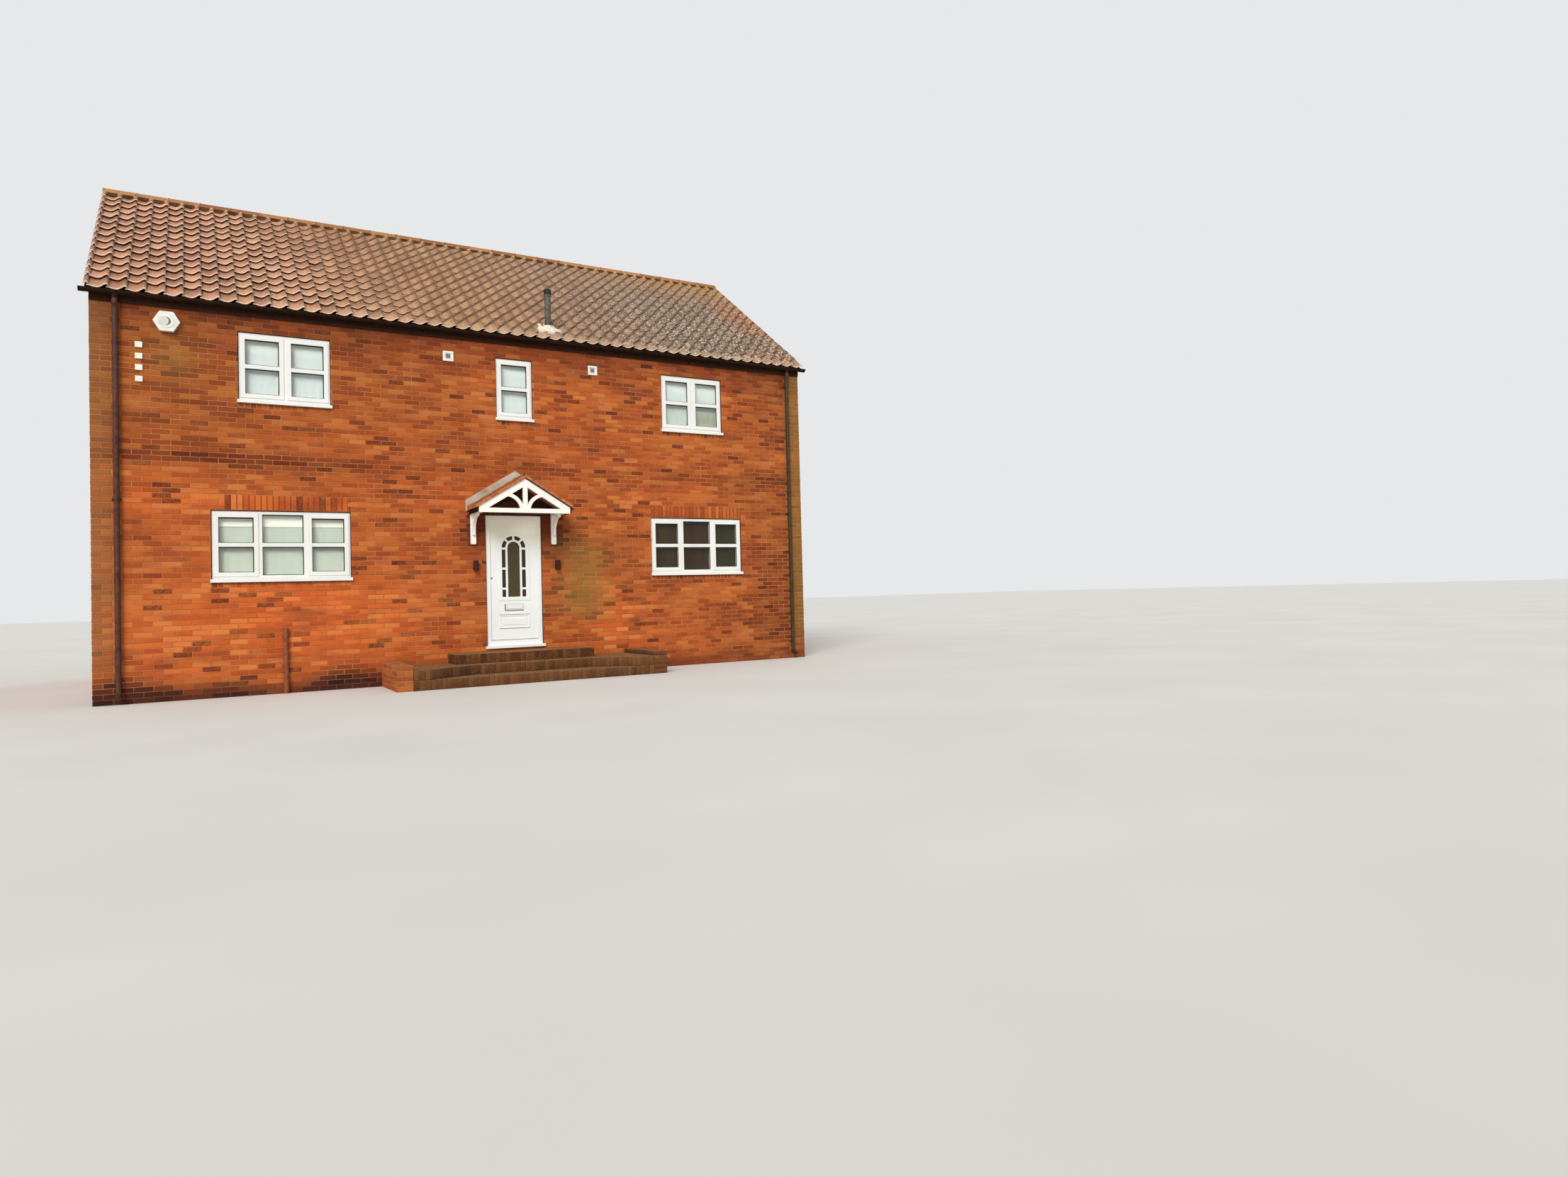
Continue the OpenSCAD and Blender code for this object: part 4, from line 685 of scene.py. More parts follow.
def weatheredPantile():
    # fired clay pantile, dull and sun-bleached, reddest at the left, with grey lichen at the right
    material, tree, place = newFinish("weatheredPantile")
    tone = addNode(tree, "Attribute", {"attribute_name": "tileTone"}).outputs["Color"]
    age = addNode(tree, "Attribute", {"attribute_name": "tileAge"}).outputs["Color"]
    tones = addNode(tree, "SeparateColor", (), {0: tone}).outputs
    ages = addNode(tree, "SeparateColor", (), {0: age}).outputs
    axes = addNode(tree, "SeparateXYZ", (), {0: place}).outputs
    tan = [(0.0, "#8E6140"), (0.35, "#A67850"), (0.7, "#BC8C62"), (1.0, "#C8986E")]
    red = [(0.0, "#8C5032"), (0.35, "#A86848"), (0.7, "#C27E58"), (1.0, "#D09470")]
    grey = [(0.0, "#7C624D"), (0.35, "#917660"), (0.7, "#A38870"), (1.0, "#B09078")]
    colour = addNode(tree, "ValToRGB", {"stops": tan}, {0: tones[0]}).outputs[0]
    for age, stops in ((ages[0], red), (ages[1], grey)):
        other = addNode(tree, "ValToRGB", {"stops": stops}, {0: tones[0]}).outputs[0]
        colour = addNode(tree, "Mix", blend, {0: age, 6: colour, 7: other}).outputs[2]
    # the rolls are duller than the troughs; golden lichen grows under the ridge at the right
    crown = addNode(tree, "MapRange", (), {0: tones[1], 1: 0.25, 2: 0.9, 3: 0.0, 4: 0.8}).outputs[0]
    colour = addNode(tree, "Mix", darken, {0: crown, 6: colour, 7: "#B0A094"}).outputs[2]
    farRight = addNode(tree, "MapRange", (), {0: axes[0], 1: 1.8, 2: 4.2}).outputs[0]
    high = addNode(tree, "MapRange", (), {0: axes[2], 1: 7.5, 2: 8.15, 3: 0.0, 4: 0.75}).outputs[0]
    golden = addNode(tree, "Math", product, {0: farRight, 1: high}).outputs[0]
    colour = addNode(tree, "Mix", blend, {0: golden, 6: colour, 7: "#B07C3E"}).outputs[2]
    # newer, redder tiles lie along the right verge and in the low right corner
    for start, end, foot, head, code in ((4.7, 5.2, 6.5, 7.8, "#B4683A"), (4.1, 5.0, 5.5, 6.2, "#B57858")):
        patch = addNode(tree, "MapRange", (), {0: axes[0], 1: start, 2: end, 3: 0.0, 4: 0.65}).outputs[0]
        for bare, full in ((foot, foot + 0.2), (head, head - 0.3)):
            part = addNode(tree, "MapRange", (), {0: axes[2], 1: bare, 2: full}).outputs[0]
            patch = addNode(tree, "Math", product, {0: patch, 1: part}).outputs[0]
        colour = addNode(tree, "Mix", blend, {0: patch, 6: colour, 7: code}).outputs[2]
    look = {"Vector": place, "Scale": 26, "Detail": 5, "Roughness": 0.65}
    growth = addNode(tree, "TexNoise", (), look).outputs[0]
    spots = addNode(tree, "MapRange", (), {0: growth, 1: 0.52, 2: 0.66, 3: 0.0, 4: 0.7}).outputs[0]
    low = addNode(tree, "MapRange", (), {0: tones[1], 1: 0.1, 2: 0.8, 3: 1.0, 4: 0.35}).outputs[0]
    algae = addNode(tree, "Math", product, {0: spots, 1: low}).outputs[0]
    colour = addNode(tree, "Mix", blend, {0: algae, 6: colour, 7: "#463322"}).outputs[2]
    # lichen specks 20 mm wide, dark and pale, drawn twice as wide so that they show, most low at the right
    look = {"Vector": place, "Scale": 31, "Detail": 2, "Roughness": 0.5}
    specks = addNode(tree, "TexNoise", (), look).outputs[0]
    lower = addNode(tree, "MapRange", (), {0: axes[2], 1: 7.9, 2: 6.6, 3: 0.35, 4: 1.0}).outputs[0]
    thick = addNode(tree, "MapRange", (), {0: axes[0], 1: 0.5, 2: 3.2}).outputs[0]
    thick = addNode(tree, "Math", product, {0: thick, 1: lower}).outputs[0]
    thick = addNode(tree, "MapRange", (), {0: thick, 3: 0.2, 4: 0.95}).outputs[0]
    for start, end, code in ((0.51, 0.60, "#3E3929"), (0.43, 0.36, "#DACDB8")):
        speck = addNode(tree, "MapRange", (), {0: specks, 1: start, 2: end}).outputs[0]
        speck = addNode(tree, "Math", product, {0: speck, 1: thick}).outputs[0]
        colour = addNode(tree, "Mix", blend, {0: speck, 6: colour, 7: code}).outputs[2]
    # painted shadow of the noses, drawn along the foot of each roll and over it, aslant across the tile
    grid = addNode(tree, "Attribute", {"attribute_name": "tileGrid"}).outputs["Color"]
    grids = addNode(tree, "SeparateColor", (), {0: grid}).outputs
    wander = addNode(tree, "MapRange", (), {0: growth, 1: 0.3, 2: 0.7, 3: -0.04, 4: 0.04}).outputs[0]
    slant = addNode(tree, "Math", {"operation": "ADD"}, {0: grids[0], 1: wander}).outputs[0]
    slant = addNode(tree, "Math", {"operation": "FRACT"}, {0: slant}).outputs[0]
    slant = addNode(tree, "Math", {"operation": "SUBTRACT"}, {0: slant, 1: 0.54}).outputs[0]
    slant = addNode(tree, "Math", {"operation": "ABSOLUTE"}, {0: slant}).outputs[0]
    noseShadow = addNode(tree, "MapRange", (), {0: slant, 1: 0.04, 2: 0.19, 3: 0.9, 4: 0.0}).outputs[0]
    noseShadow = addNode(tree, "Math", product, {0: noseShadow, 1: grids[1]}).outputs[0]
    colour = addNode(tree, "Mix", blend, {0: noseShadow, 6: colour, 7: "#3E2A1B"}).outputs[2]
    # moss and painted shade at the left of each trough, and painted shadow under each tail
    dirt = addNode(tree, "Math", product, {0: ages[2], 1: 0.9}).outputs[0]
    colour = addNode(tree, "Mix", blend, {0: dirt, 6: colour, 7: "#382415"}).outputs[2]
    # pale noses: the clay's bleached edge and a painted highlight
    colour = addNode(tree, "Mix", blend, {0: tones[2], 6: colour, 7: "#EBC9AC"}).outputs[2]
    finishSurface(tree, {"Base Color": colour, "Roughness": 0.82, "Specular IOR Level": 0.35}, growth, 0.002)
    return material


def beddingMortar():
    # cement mortar under the ridge: cream where it is dabbed on, dark brown in the hollows between the dabs
    material, tree, place = newFinish("beddingMortar")
    grit = addNode(tree, "TexNoise", (), {"Vector": place, "Scale": 70, "Detail": 5}).outputs[0]
    dab = addNode(tree, "Attribute", {"attribute_name": "dab"}).outputs["Fac"]
    stops = [(0.3, "#A8967A"), (0.5, "#C4B496"), (0.7, "#DCCFB2")]
    colour = addNode(tree, "ValToRGB", {"stops": stops}, {0: grit}).outputs[0]
    shown = addNode(tree, "MapRange", (), {0: dab, 1: 0.1, 2: 0.7}).outputs[0]
    colour = addNode(tree, "Mix", blend, {0: shown, 6: "#5E4026", 7: colour}).outputs[2]
    finishSurface(tree, {"Base Color": colour, "Roughness": 0.95, "Specular IOR Level": 0.2}, grit, 0.003)
    return material


def smoothedMortar():
    # smoothed mortar flashing over the canopy: pale grey-cream, a little dirty
    material, tree, place = newFinish("smoothedMortar")
    stops = [(0.3, "#9C9482"), (0.5, "#B2AA98"), (0.75, "#C2BBAA")]
    stain, colour = mottled(tree, place, stops, 7, 4)
    finishSurface(tree, {"Base Color": colour, "Roughness": 0.9, "Specular IOR Level": 0.2}, stain, 0.001)
    return material


def bituminousFelt():
    # bituminous sarking felt under the tiles: near-black, dusted with fine mineral
    material, tree, place = newFinish("bituminousFelt")
    colour = mottled(tree, place, [(0.3, "#16130F"), (0.7, "#241F19")], 90, 3)[1]
    finishSurface(tree, {"Base Color": colour, "Roughness": 0.9, "Specular IOR Level": 0.2})
    return material


pantileFinish = weatheredPantile()
dabFinish = beddingMortar()
feltFinish = bituminousFelt()
for isRear in (False, True):
    side = "rear" if isRear else "front"
    points, faces, tones = tileField(isRear)
    piece = meshPiece(side + "Pantiles", points, faces, 38, tones)
    dress(piece, pantileFinish, replaced=[side + "_roof_slope"])
    reach = tiling["half"] - 0.012
    points, faces = boxPoints((-reach, 0, 0), (reach, tiling["slope"], tiling["felt"]))
    deck = meshPiece(side + "RoofFelt", onSlope(*points.T, isRear), [faces])
    dress(deck, feltFinish)
print("roof slopes done")

# Half-round ridge tiles, butted with a rim where each laps the next, on cream mortar.
ridge = {
    "radius": 0.130,
    "thick": 0.014,
    "half": 5.622,
    "count": 25,
    "spread": math.radians(77),
    "centreZ": 8.2933,
    "rim": 0.006,
    "joint": 0.006,
    "dab": 0.05,
}


def halfRound(count, steps):
    # an arc swept along each tile, outer side out and inner side back, so that each tile is a closed shell
    length = 2 * ridge["half"] / count
    angles = np.linspace(-ridge["spread"], ridge["spread"], steps)
    angles = np.concatenate([angles, angles[::-1]])
    isInner = np.arange(2 * steps) >= steps
    stations = np.array([0.0, 0.004, 0.05, 0.056, 0.5, 0.99, 1.0])
    rims = np.array([-0.003, 0.0, 0.0, -ridge["rim"], -ridge["rim"], -ridge["rim"], -ridge["rim"] - 0.003])
    starts = -ridge["half"] + np.arange(count)[:, None, None] * length
    x = starts + ridge["joint"] / 2 + stations[None, :, None] * (length - ridge["joint"])
    sag = dice.normal(0, 0.0012, (count, 1, 1))
    radius = ridge["radius"] - 0.002 + rims[None, :, None] - isInner * ridge["thick"] - np.abs(sag)
    y = house["ridgeY"] + radius * np.sin(angles)
    z = ridge["centreZ"] + radius * np.cos(angles)
    points = np.stack(np.broadcast_arrays(x, y, z), -1)
    rows, around = len(stations), 2 * steps
    skin = gridFaces(rows, around, closeColumns=True)[:, ::-1]
    k = np.arange(steps - 1)
    cap = np.stack([k, k + 1, around - 2 - k, around - 1 - k], -1)
    last = cap[:, ::-1] + (rows - 1) * around
    tone = np.ones(points.shape[:-1] + (4,))
    tone[..., 0] = dice.random((count, 1, 1))
    tone[..., 1] = 0.8
    tone[..., 2] = 0.0
    size = rows * around
    faces = [repeated(skin, count, size), repeated(cap, count, size), repeated(last, count, size)]
    return points, faces, {"tileTone": tone.reshape(-1, 4)}


def halfRoundClay():
    # fired clay ridge tile, brown-orange and a little smoother than the slope's tiles
    material, tree, place = newFinish("halfRoundClay")
    tone = addNode(tree, "Attribute", {"attribute_name": "tileTone"}).outputs["Color"]
    tones = addNode(tree, "SeparateColor", (), {0: tone}).outputs
    stops = [(0.0, "#8E5830"), (0.5, "#A26C3A"), (1.0, "#B27C4C")]
    colour = addNode(tree, "ValToRGB", {"stops": stops}, {0: tones[0]}).outputs[0]
    growth = addNode(tree, "TexNoise", (), {"Vector": place, "Scale": 22, "Detail": 5}).outputs[0]
    spots = addNode(tree, "MapRange", (), {0: growth, 1: 0.55, 2: 0.7, 3: 0.0, 4: 0.6}).outputs[0]
    colour = addNode(tree, "Mix", blend, {0: spots, 6: colour, 7: "#4F3A28"}).outputs[2]
    finishSurface(tree, {"Base Color": colour, "Roughness": 0.8, "Specular IOR Level": 0.35}, growth, 0.002)
    return material


points, faces, tones = halfRound(ridge["count"], 13)
ridgeFinish = halfRoundClay()
piece = meshPiece("ridgeTiles", points, faces, 30, tones)
dress(piece, ridgeFinish, replaced=["ridge_tiles"])


def ridgeBedding(isRear):
    # a strip under the ridge tile's edge, from the tiles' surface up to it
    samples = tiling["columns"] * 8 + 1
    x = np.linspace(-ridge["half"] + 0.01, ridge["half"] - 0.01, samples)
    width = (2 * tiling["half"] - tiling["verge"]) / tiling["columns"]
    share = ((x + tiling["half"] - tiling["verge"]) / width) % 1.0
    knots = np.array(tiling["knots"])
    wave = np.interp(share, knots[:, 0], knots[:, 1])
    # a three-cornered dab comes down over each roll, and hollows lie between the dabs
    dab = np.clip(1 - np.abs((share - 0.86 + 0.5) % 1.0 - 0.5) / 0.2, 0, 1)
    down = 0.104 + ridge["dab"] * dab * (1 + 0.4 * np.sin(x * 31.0)) + 0.008 * np.sin(x * 9.0 + 1)
    s = tiling["slope"] - np.stack([0 * down + 0.02, 0 * down + 0.09, down - 0.006, down])
    rest = tiling["tail"] + wave
    foot = np.stack([0 * wave + 0.082, 0 * wave + 0.080, rest + 0.016 * dab, rest - 0.004])
    grid = onSlope(x[None, :], s, foot, isRear)
    under = onSlope(x[None, :], s[::-1] + 0.004, 0.012 + 0 * s, isRear)
    shown = np.ones((8, samples, 4))
    shown[..., :3] = dab[None, :, None]
    return np.concatenate([grid, under]), samples, {"dab": shown}


for isRear in (False, True):
    points, samples, shown = ridgeBedding(isRear)
    skin = gridFaces(8, samples, closeRows=True)
    caps = [[list(range(0, 8 * samples, samples))[::-1]], [list(range(samples - 1, 8 * samples, samples))]]
    piece = meshPiece(("rear" if isRear else "front") + "RidgeMortar", points, [skin, *caps], 50, shown)
    dress(piece, dabFinish)
print("ridge done")

# Windows: the frames' own solids with rounded edges, dark gaskets widened at the top and right as painted
# shade, glass, and the nets behind it.
glazing = {
    "gasketAndShade": {"top": 0.018, "bottom": 0.008, "left": 0.004, "right": 0.014},
    "gasketProud": 0.003,
    "sealant": 0.011,
    "sealantY": house["front"] + 0.025,
    "sashes": ["lower_left_window", "lower_right_window", "upper_left_window", "upper_middle_window",
               "upper_right_window", "rear_windows"],
    "panes": ["lower_front_glass", "upper_front_glass", "rear_glass"],
}


def extrudedUpvc():
    # extruded and welded PVC-U profile: smooth satin white, with a trace of grime
    material, tree, place = newFinish("extrudedUpvc")
    stops = [(0.30, "#E1E0D9"), (0.6, "#E8E7E1"), (1.0, "#ECEBE7")]
    grime, colour = mottled(tree, place, stops, 3.0, 5, 0.6)
    gloss = addNode(tree, "MapRange", (), {0: grime, 1: 0.3, 2: 0.7, 3: 0.45, 4: 0.3}).outputs[0]
    finishSurface(tree, {"Base Color": colour, "Roughness": gloss, "IOR": 1.53})
    return material


def floatGlass():
    # float glass in a sealed unit: clear, nearly neutral, and lamps shine through it
    material, tree = newTree("floatGlass")
    look = {"Base Color": "#F2F3EF", "Roughness": 0.0, "IOR": 1.27, "Transmission Weight": 1.0}
    body = addNode(tree, "BsdfPrincipled", (), look).outputs[0]
    clear = addNode(tree, "BsdfTransparent", (), {"Color": "#E8EAE4"}).outputs[0]
    isShadow = addNode(tree, "LightPath").outputs["Is Shadow Ray"]
    mixed = addNode(tree, "MixShader", (), {0: isShadow, 1: body, 2: clear}).outputs[0]
    addNode(tree, "OutputMaterial", (), {"Surface": mixed})
    return material


def blackRubber():
    # extruded EPDM gasket: matt black, slightly dusty
    material, tree, place = newFinish("blackRubber")
    colour = mottled(tree, place, [(0.3, "#1B1B1A"), (0.8, "#3A3937")], 40, 3)[1]
    finishSurface(tree, {"Base Color": colour, "Roughness": 0.7})
    return material


def paneBoxes(node):
    # the lowest and highest corner of each separate pane of a glass node
    shape = bmesh.new()
    shape.from_mesh(nodes[node].data)
    bmesh.ops.remove_doubles(shape, verts=shape.verts, dist=2e-5)
    found, left = [], set(shape.verts)
    while left:
        island, edge = set(), {left.pop()}
        while edge:
            island |= edge
            edge = {v for point in edge for link in point.link_edges for v in link.verts} - island
        left -= island
        points = np.array([v.co[:] for v in island])
        found.append((points.min(0), points.max(0)))
    shape.free()
    return sorted(found, key=lambda pair: tuple(np.round(pair[0], 3)))


upvcFinish = extrudedUpvc()
glassFinish = floatGlass()
rubberFinish = blackRubber()
for node in glazing["sashes"]:
    bevelledCopy(node.title().replace("_", "") + "Frame", node, upvcFinish, 0.003)
bevelledCopy("windowSillProfiles", "window_sills", upvcFinish, 0.004)
lows, highs = [], []
for node in glazing["panes"]:
    paintNode(node, glassFinish)
    for low, high in paneBoxes(node):
        wide, proud = glazing["gasketAndShade"], glazing["gasketProud"]
        outer = low[1] if low[1] < 0 else high[1]
        y0, y1 = (outer - proud, outer + 0.001) if low[1] < 0 else (outer - 0.001, outer + proud)
        ends = ("left", "right") if low[1] < 0 else ("right", "left")
        leftWide, rightWide = (wide[end] for end in ends)
        x0, x1, z0, z1 = low[0], high[0], low[2], high[2]
        # four strips round the pane, in the order bottom, top, left and right; the top and right are wider
        # than the rubber, as painted shade
        lows += [(x0, y0, z0), (x0, y0, z1 - wide["top"]), (x0, y0, z0), (x1 - rightWide, y0, z0)]
        highs += [(x1, y1, z0 + wide["bottom"]), (x1, y1, z1), (x0 + leftWide, y1, z1), (x1, y1, z1)]
points, faces = boxPoints(lows, highs)
dress(meshPiece("windowGasketsAndShade", points, [faces]), rubberFinish)

# Brown sealant in the corner between frames and bricks: down both sides and over the top of each opening,
# wide and dark enough to stand also as painted shade round each frame.
sealantAndShadeFinish = plainFinish("brownSealantAndShade", [(0.3, "#2E1A10"), (0.7, "#43281A")], 0.7, 30, 0.0003)
lows, highs = [], []
wide = glazing["sealant"]
for key, (left, right, foot, head) in openings.items():
    for isRear in ((False,) if key == "door" else (False, True)):
        x0, x1 = left + house["left"], right + house["left"]
        y0, y1 = glazing["sealantY"] - 0.003, glazing["sealantY"] + 0.0005
        if isRear:
            x0, x1 = -x1, -x0
            y0, y1 = house["front"] + house["rear"] - y1, house["front"] + house["rear"] - y0
        lows += [(x0, y0, foot), (x1 - wide, y0, foot), (x0, y0, head - wide)]
        highs += [(x0 + wide, y1, head), (x1, y1, head), (x1, y1, head)]
points, faces = boxPoints(lows, highs)
dress(meshPiece("frameSealantAndShade", points, [faces]), sealantAndShadeFinish)
print("windows done")

# Net curtains and blinds: hung just inside the glass on slim rails between the reveals.
hangings = {
    "line": house["front"] + 0.105,
    "net": 0.0014,
    "railDeep": 0.012,
    "railHigh": 0.018,
    "clothThick": 0.001,
    "rows": 14,
    "perMetre": 90,
}


def wovenVoile():
    # woven polyester voile: thin, soft and dull, greyer downstairs and bluer upstairs
    material, tree, place = newFinish("wovenVoile")
    axes = addNode(tree, "SeparateXYZ", (), {0: place}).outputs
    upstairs = addNode(tree, "MapRange", (), {0: axes[2], 1: 3.0, 2: 3.5}).outputs[0]
    # threads lie 0.5 mm apart, drawn at 4 mm so that they show
    warp = addNode(tree, "TexWave", {"bands_direction": "X"}, {"Vector": place, "Scale": 40}).outputs[1]
    weft = addNode(tree, "TexWave", {"bands_direction": "Z"}, {"Vector": place, "Scale": 40}).outputs[1]
    weave = addNode(tree, "Math", {"operation": "ADD"}, {0: warp, 1: weft}).outputs[0]
    level = addNode(tree, "MapRange", (), {0: weave, 1: 0.0, 2: 2.0}).outputs[0]
    grey = addNode(tree, "ValToRGB", {"stops": [(0.0, "#B0B7AE"), (1.0, "#C8CFC6")]}, {0: level}).outputs[0]
    blue = addNode(tree, "ValToRGB", {"stops": [(0.0, "#C3CCD0"), (1.0, "#D4DCE0")]}, {0: level}).outputs[0]
    colour = addNode(tree, "Mix", blend, {0: upstairs, 6: grey, 7: blue}).outputs[2]
    # partly a pale band of the cloth, partly painted light: the upstairs cloth pales towards its top, against
    # the shade under the window heads
    paleTopAndLight = addNode(tree, "MapRange", (), {0: axes[2], 1: 5.02, 2: 5.26, 3: 0.0, 4: 0.9}).outputs[0]
    colour = addNode(tree, "Mix", blend, {0: paleTopAndLight, 6: colour, 7: "#F6FBFA"}).outputs[2]
    # low in the upper right window the cloth is greyer and darker, most of all at its right
    lowPart = addNode(tree, "MapRange", (), {0: axes[2], 1: 4.95, 2: 4.6}).outputs[0]
    for start, end, share, code in ((2.6, 2.8, 0.5, "#A4B0A0"), (3.2, 3.5, 0.75, "#8C8E7A")):
        part = addNode(tree, "MapRange", (), {0: axes[0], 1: start, 2: end, 3: 0.0, 4: share}).outputs[0]
        part = addNode(tree, "Math", product, {0: part, 1: lowPart}).outputs[0]
        part = addNode(tree, "Math", product, {0: part, 1: upstairs}).outputs[0]
        colour = addNode(tree, "Mix", blend, {0: part, 6: colour, 7: code}).outputs[2]
    look = {"Base Color": colour, "Roughness": 0.9, "Specular IOR Level": 0.1}
    look.update({"Sheen Weight": 0.3, "Sheen Roughness": 0.5})
    finishSurface(tree, look, level, 0.0006)
    return material


def rollerBlindCloth():
    # coated polyester blind: flat, smooth and cream white
    material, tree, place = newFinish("rollerBlindCloth")
    slub = addNode(tree, "Mapping", (), {"Vector": place, "Scale": (1, 1, 30)}).outputs[0]
    lines, colour = mottled(tree, slub, [(0.3, "#EEF0E6"), (0.7, "#F8F9F2")], 9, 3)
    finishSurface(tree, {"Base Color": colour, "Roughness": 0.8, "Specular IOR Level": 0.2}, lines, 0.0005)
    return material


def brownLinenAndShade():
    # heavy linen curtain, dark brown and dull, drawn across the lower right window; its darkness is partly
    # painted shade, standing for the dim room behind
    material, tree, place = newFinish("brownLinenAndShade")
    slub = addNode(tree, "Mapping", (), {"Vector": place, "Scale": (1.6, 1.6, 0.5)}).outputs[0]
    colour = mottled(tree, slub, [(0.3, "#2E1A0A"), (0.7, "#3A2A10")], 2.4, 4)[1]
    axes = addNode(tree, "SeparateXYZ", (), {0: place}).outputs
    right = addNode(tree, "MapRange", (), {0: axes[0], 1: 3.5, 2: 3.75, 3: 0.0, 4: 0.7}).outputs[0]
    colour = addNode(tree, "Mix", blend, {0: right, 6: colour, 7: "#2C2B12"}).outputs[2]
    finishSurface(tree, {"Base Color": colour, "Roughness": 0.9, "Specular IOR Level": 0.1})
    return material


def hangCloth(name, key, foot, head, material, folds, depth, isRear=False, gap=0.004, behind=0.0):
    # y is the rail's line plus depth times a sine along the width, which drifts, and deepens towards the foot
    left, right = openings[key][:2]
    x0, x1 = left + house["left"] + gap, right + house["left"] - gap
    columns = int((x1 - x0) * hangings["perMetre"]) + 1
    share = np.linspace(0, 1, columns)[None, :]
    drop = np.linspace(0, 1, hangings["rows"])[:, None]
    drift = 0.6 * np.sin(7.1 * share + 1.3) + 0.35 * np.sin(15.7 * share + 0.4)
    wave = np.sin(2 * math.pi * folds * share + drift + 0.25 * drop * np.sin(9 * share))
    x = x0 + (x1 - x0) * share + 0 * drop
    y = hangings["line"] + behind + depth * wave * (0.55 + 0.45 * drop)
    z = head - (head - foot) * drop + 0 * share
    points = np.stack([x, y, z], -1)
    flatWidth = np.linalg.norm(np.diff(points, axis=1), axis=2).sum(1).mean()
    if isRear:
        points[..., 0], points[..., 1] = -points[..., 0], house["front"] + house["rear"] - points[..., 1]
    cloth = meshPiece(name, points, [gridFaces(hangings["rows"], columns)[:, ::-1]], 60)
    skin = cloth.modifiers.new("cloth", "SOLIDIFY")
    skin.thickness = hangings["clothThick"]
    skin.offset = 0
    dress(cloth, material)
    return cloth, (float(flatWidth), head - foot)


def clothRail(name, key, z, isRear=False, behind=0.0):
    # a flat rail with rounded edges from reveal to reveal
    left, right = openings[key][:2]
    middle, half = hangings["line"] + behind, hangings["railDeep"] / 2
    low = [left + house["left"] - 0.001, middle - half, z - hangings["railHigh"]]
    high = [right + house["left"] + 0.001, middle + half, z]
    if isRear:
        low[0], high[0] = -high[0], -low[0]
        low[1], high[1] = house["front"] + house["rear"] - high[1], house["front"] + house["rear"] - low[1]
    points, faces = boxPoints(low, high)
    rail = meshPiece(name, points, [faces])
    edge = rail.modifiers.new("edge", "BEVEL")
    edge.width = 0.003
    edge.segments = 2
    return dress(rail, upvcFinish)


voileFinish = wovenVoile()
linenFinish = brownLinenAndShade()
blindFinish = rollerBlindCloth()
for isRear in (False, True):
    side = "rear" if isRear else "front"
    for key in windowKeys:
        left, right, foot, head = openings[key]
        title = side + key[0].upper() + key[1:]
        rail = clothRail(title + "Rail", key, head - 0.03, isRear)
        top = head - 0.04
        folds = round((right - left) * 9)
        # each sheet's name, foot, finish, folds, depth of fold and how far it hangs behind the rail's line
        sheets = [("Net", foot + 0.06, voileFinish, folds, hangings["net"], 0.0)]
        if key == "lowerRight":
            sheets = [("Curtain", foot + 0.03, linenFinish, 11, 0.004, 0.0)]
        if key == "lowerLeft":
            sheets.append(("Blind", head - 0.24, blindFinish, 1, 0.0006, -0.0045))
        for kind, low, finish, count, depth, behind in sheets:
            cloth, flat = hangCloth(title + kind, key, low, top, finish, count, depth, isRear, behind=behind)
print("nets done")


# Front door: its own solids with rounded edges, swinging with the leaf.
def doorSkin():
    # pressed PVC-U door skin over foam: smooth clean white, paler and yellower up under the canopy as painted
    # light
    material, tree, place = newFinish("doorSkin")
    axes = addNode(tree, "SeparateXYZ", (), {0: place}).outputs
    colour = mottled(tree, place, [(0.3, "#E9EBE7"), (0.7, "#EEF0EC")], 3, 4)[1]
    # painted light: paler towards the top, against the canopy's shadow
    high = addNode(tree, "MapRange", soft, {0: axes[2], 1: 1.9, 2: 2.6}).outputs[0]
    colour = addNode(tree, "Mix", blend, {0: high, 6: colour, 7: "#FFFAE6"}).outputs[2]
    finishSurface(tree, {"Base Color": colour, "Roughness": 0.35})
    return material


def obscureGlass():
    # patterned, bronze-tinted safety glass: it lets light through but hides the hall
    material, tree, place = newFinish("obscureGlass")
    ripple, colour = mottled(tree, place, [(0.3, "#5C4F31"), (0.7, "#6F613F")], 90, 2)
    # the narrow panes round the middle one are darker
    axes = addNode(tree, "SeparateXYZ", (), {0: place}).outputs
    limits = {0: axes[0], 1: house["doorX"], 2: 0.112}
    aside = addNode(tree, "Math", {"operation": "COMPARE"}, limits).outputs[0]
    low = addNode(tree, "Math", {"operation": "LESS_THAN"}, {0: axes[2], 1: 2.235}).outputs[0]
    inner = addNode(tree, "Math", product, {0: aside, 1: low}).outputs[0]
    colour = addNode(tree, "Mix", blend, {0: inner, 6: "#443D2A", 7: colour}).outputs[2]
    look = {"Base Color": colour, "Roughness": 0.15, "IOR": 1.3, "Transmission Weight": 0.5}
    finishSurface(tree, look, ripple, 0.0008)
    return material


upvcDoor = doorSkin()
bevelledCopy("doorFrameProfile", "door_frame", upvcDoor, 0.003)
bevelledCopy("doorLeaf", "front_door", upvcDoor, 0.002, "front_door")
paintNode("door_glass", obscureGlass())


def powderCoat():
    # powder-coated steel or zinc: white, satin, with a fine orange-peel texture
    material, tree, place = newFinish("powderCoatedSteel")
    peel, colour = mottled(tree, place, [(0.3, "#E6E5DE"), (0.7, "#F2F1EC")], 180, 2)
    finishSurface(tree, {"Base Color": colour, "Roughness": 0.35}, peel, 0.0003)
    return material


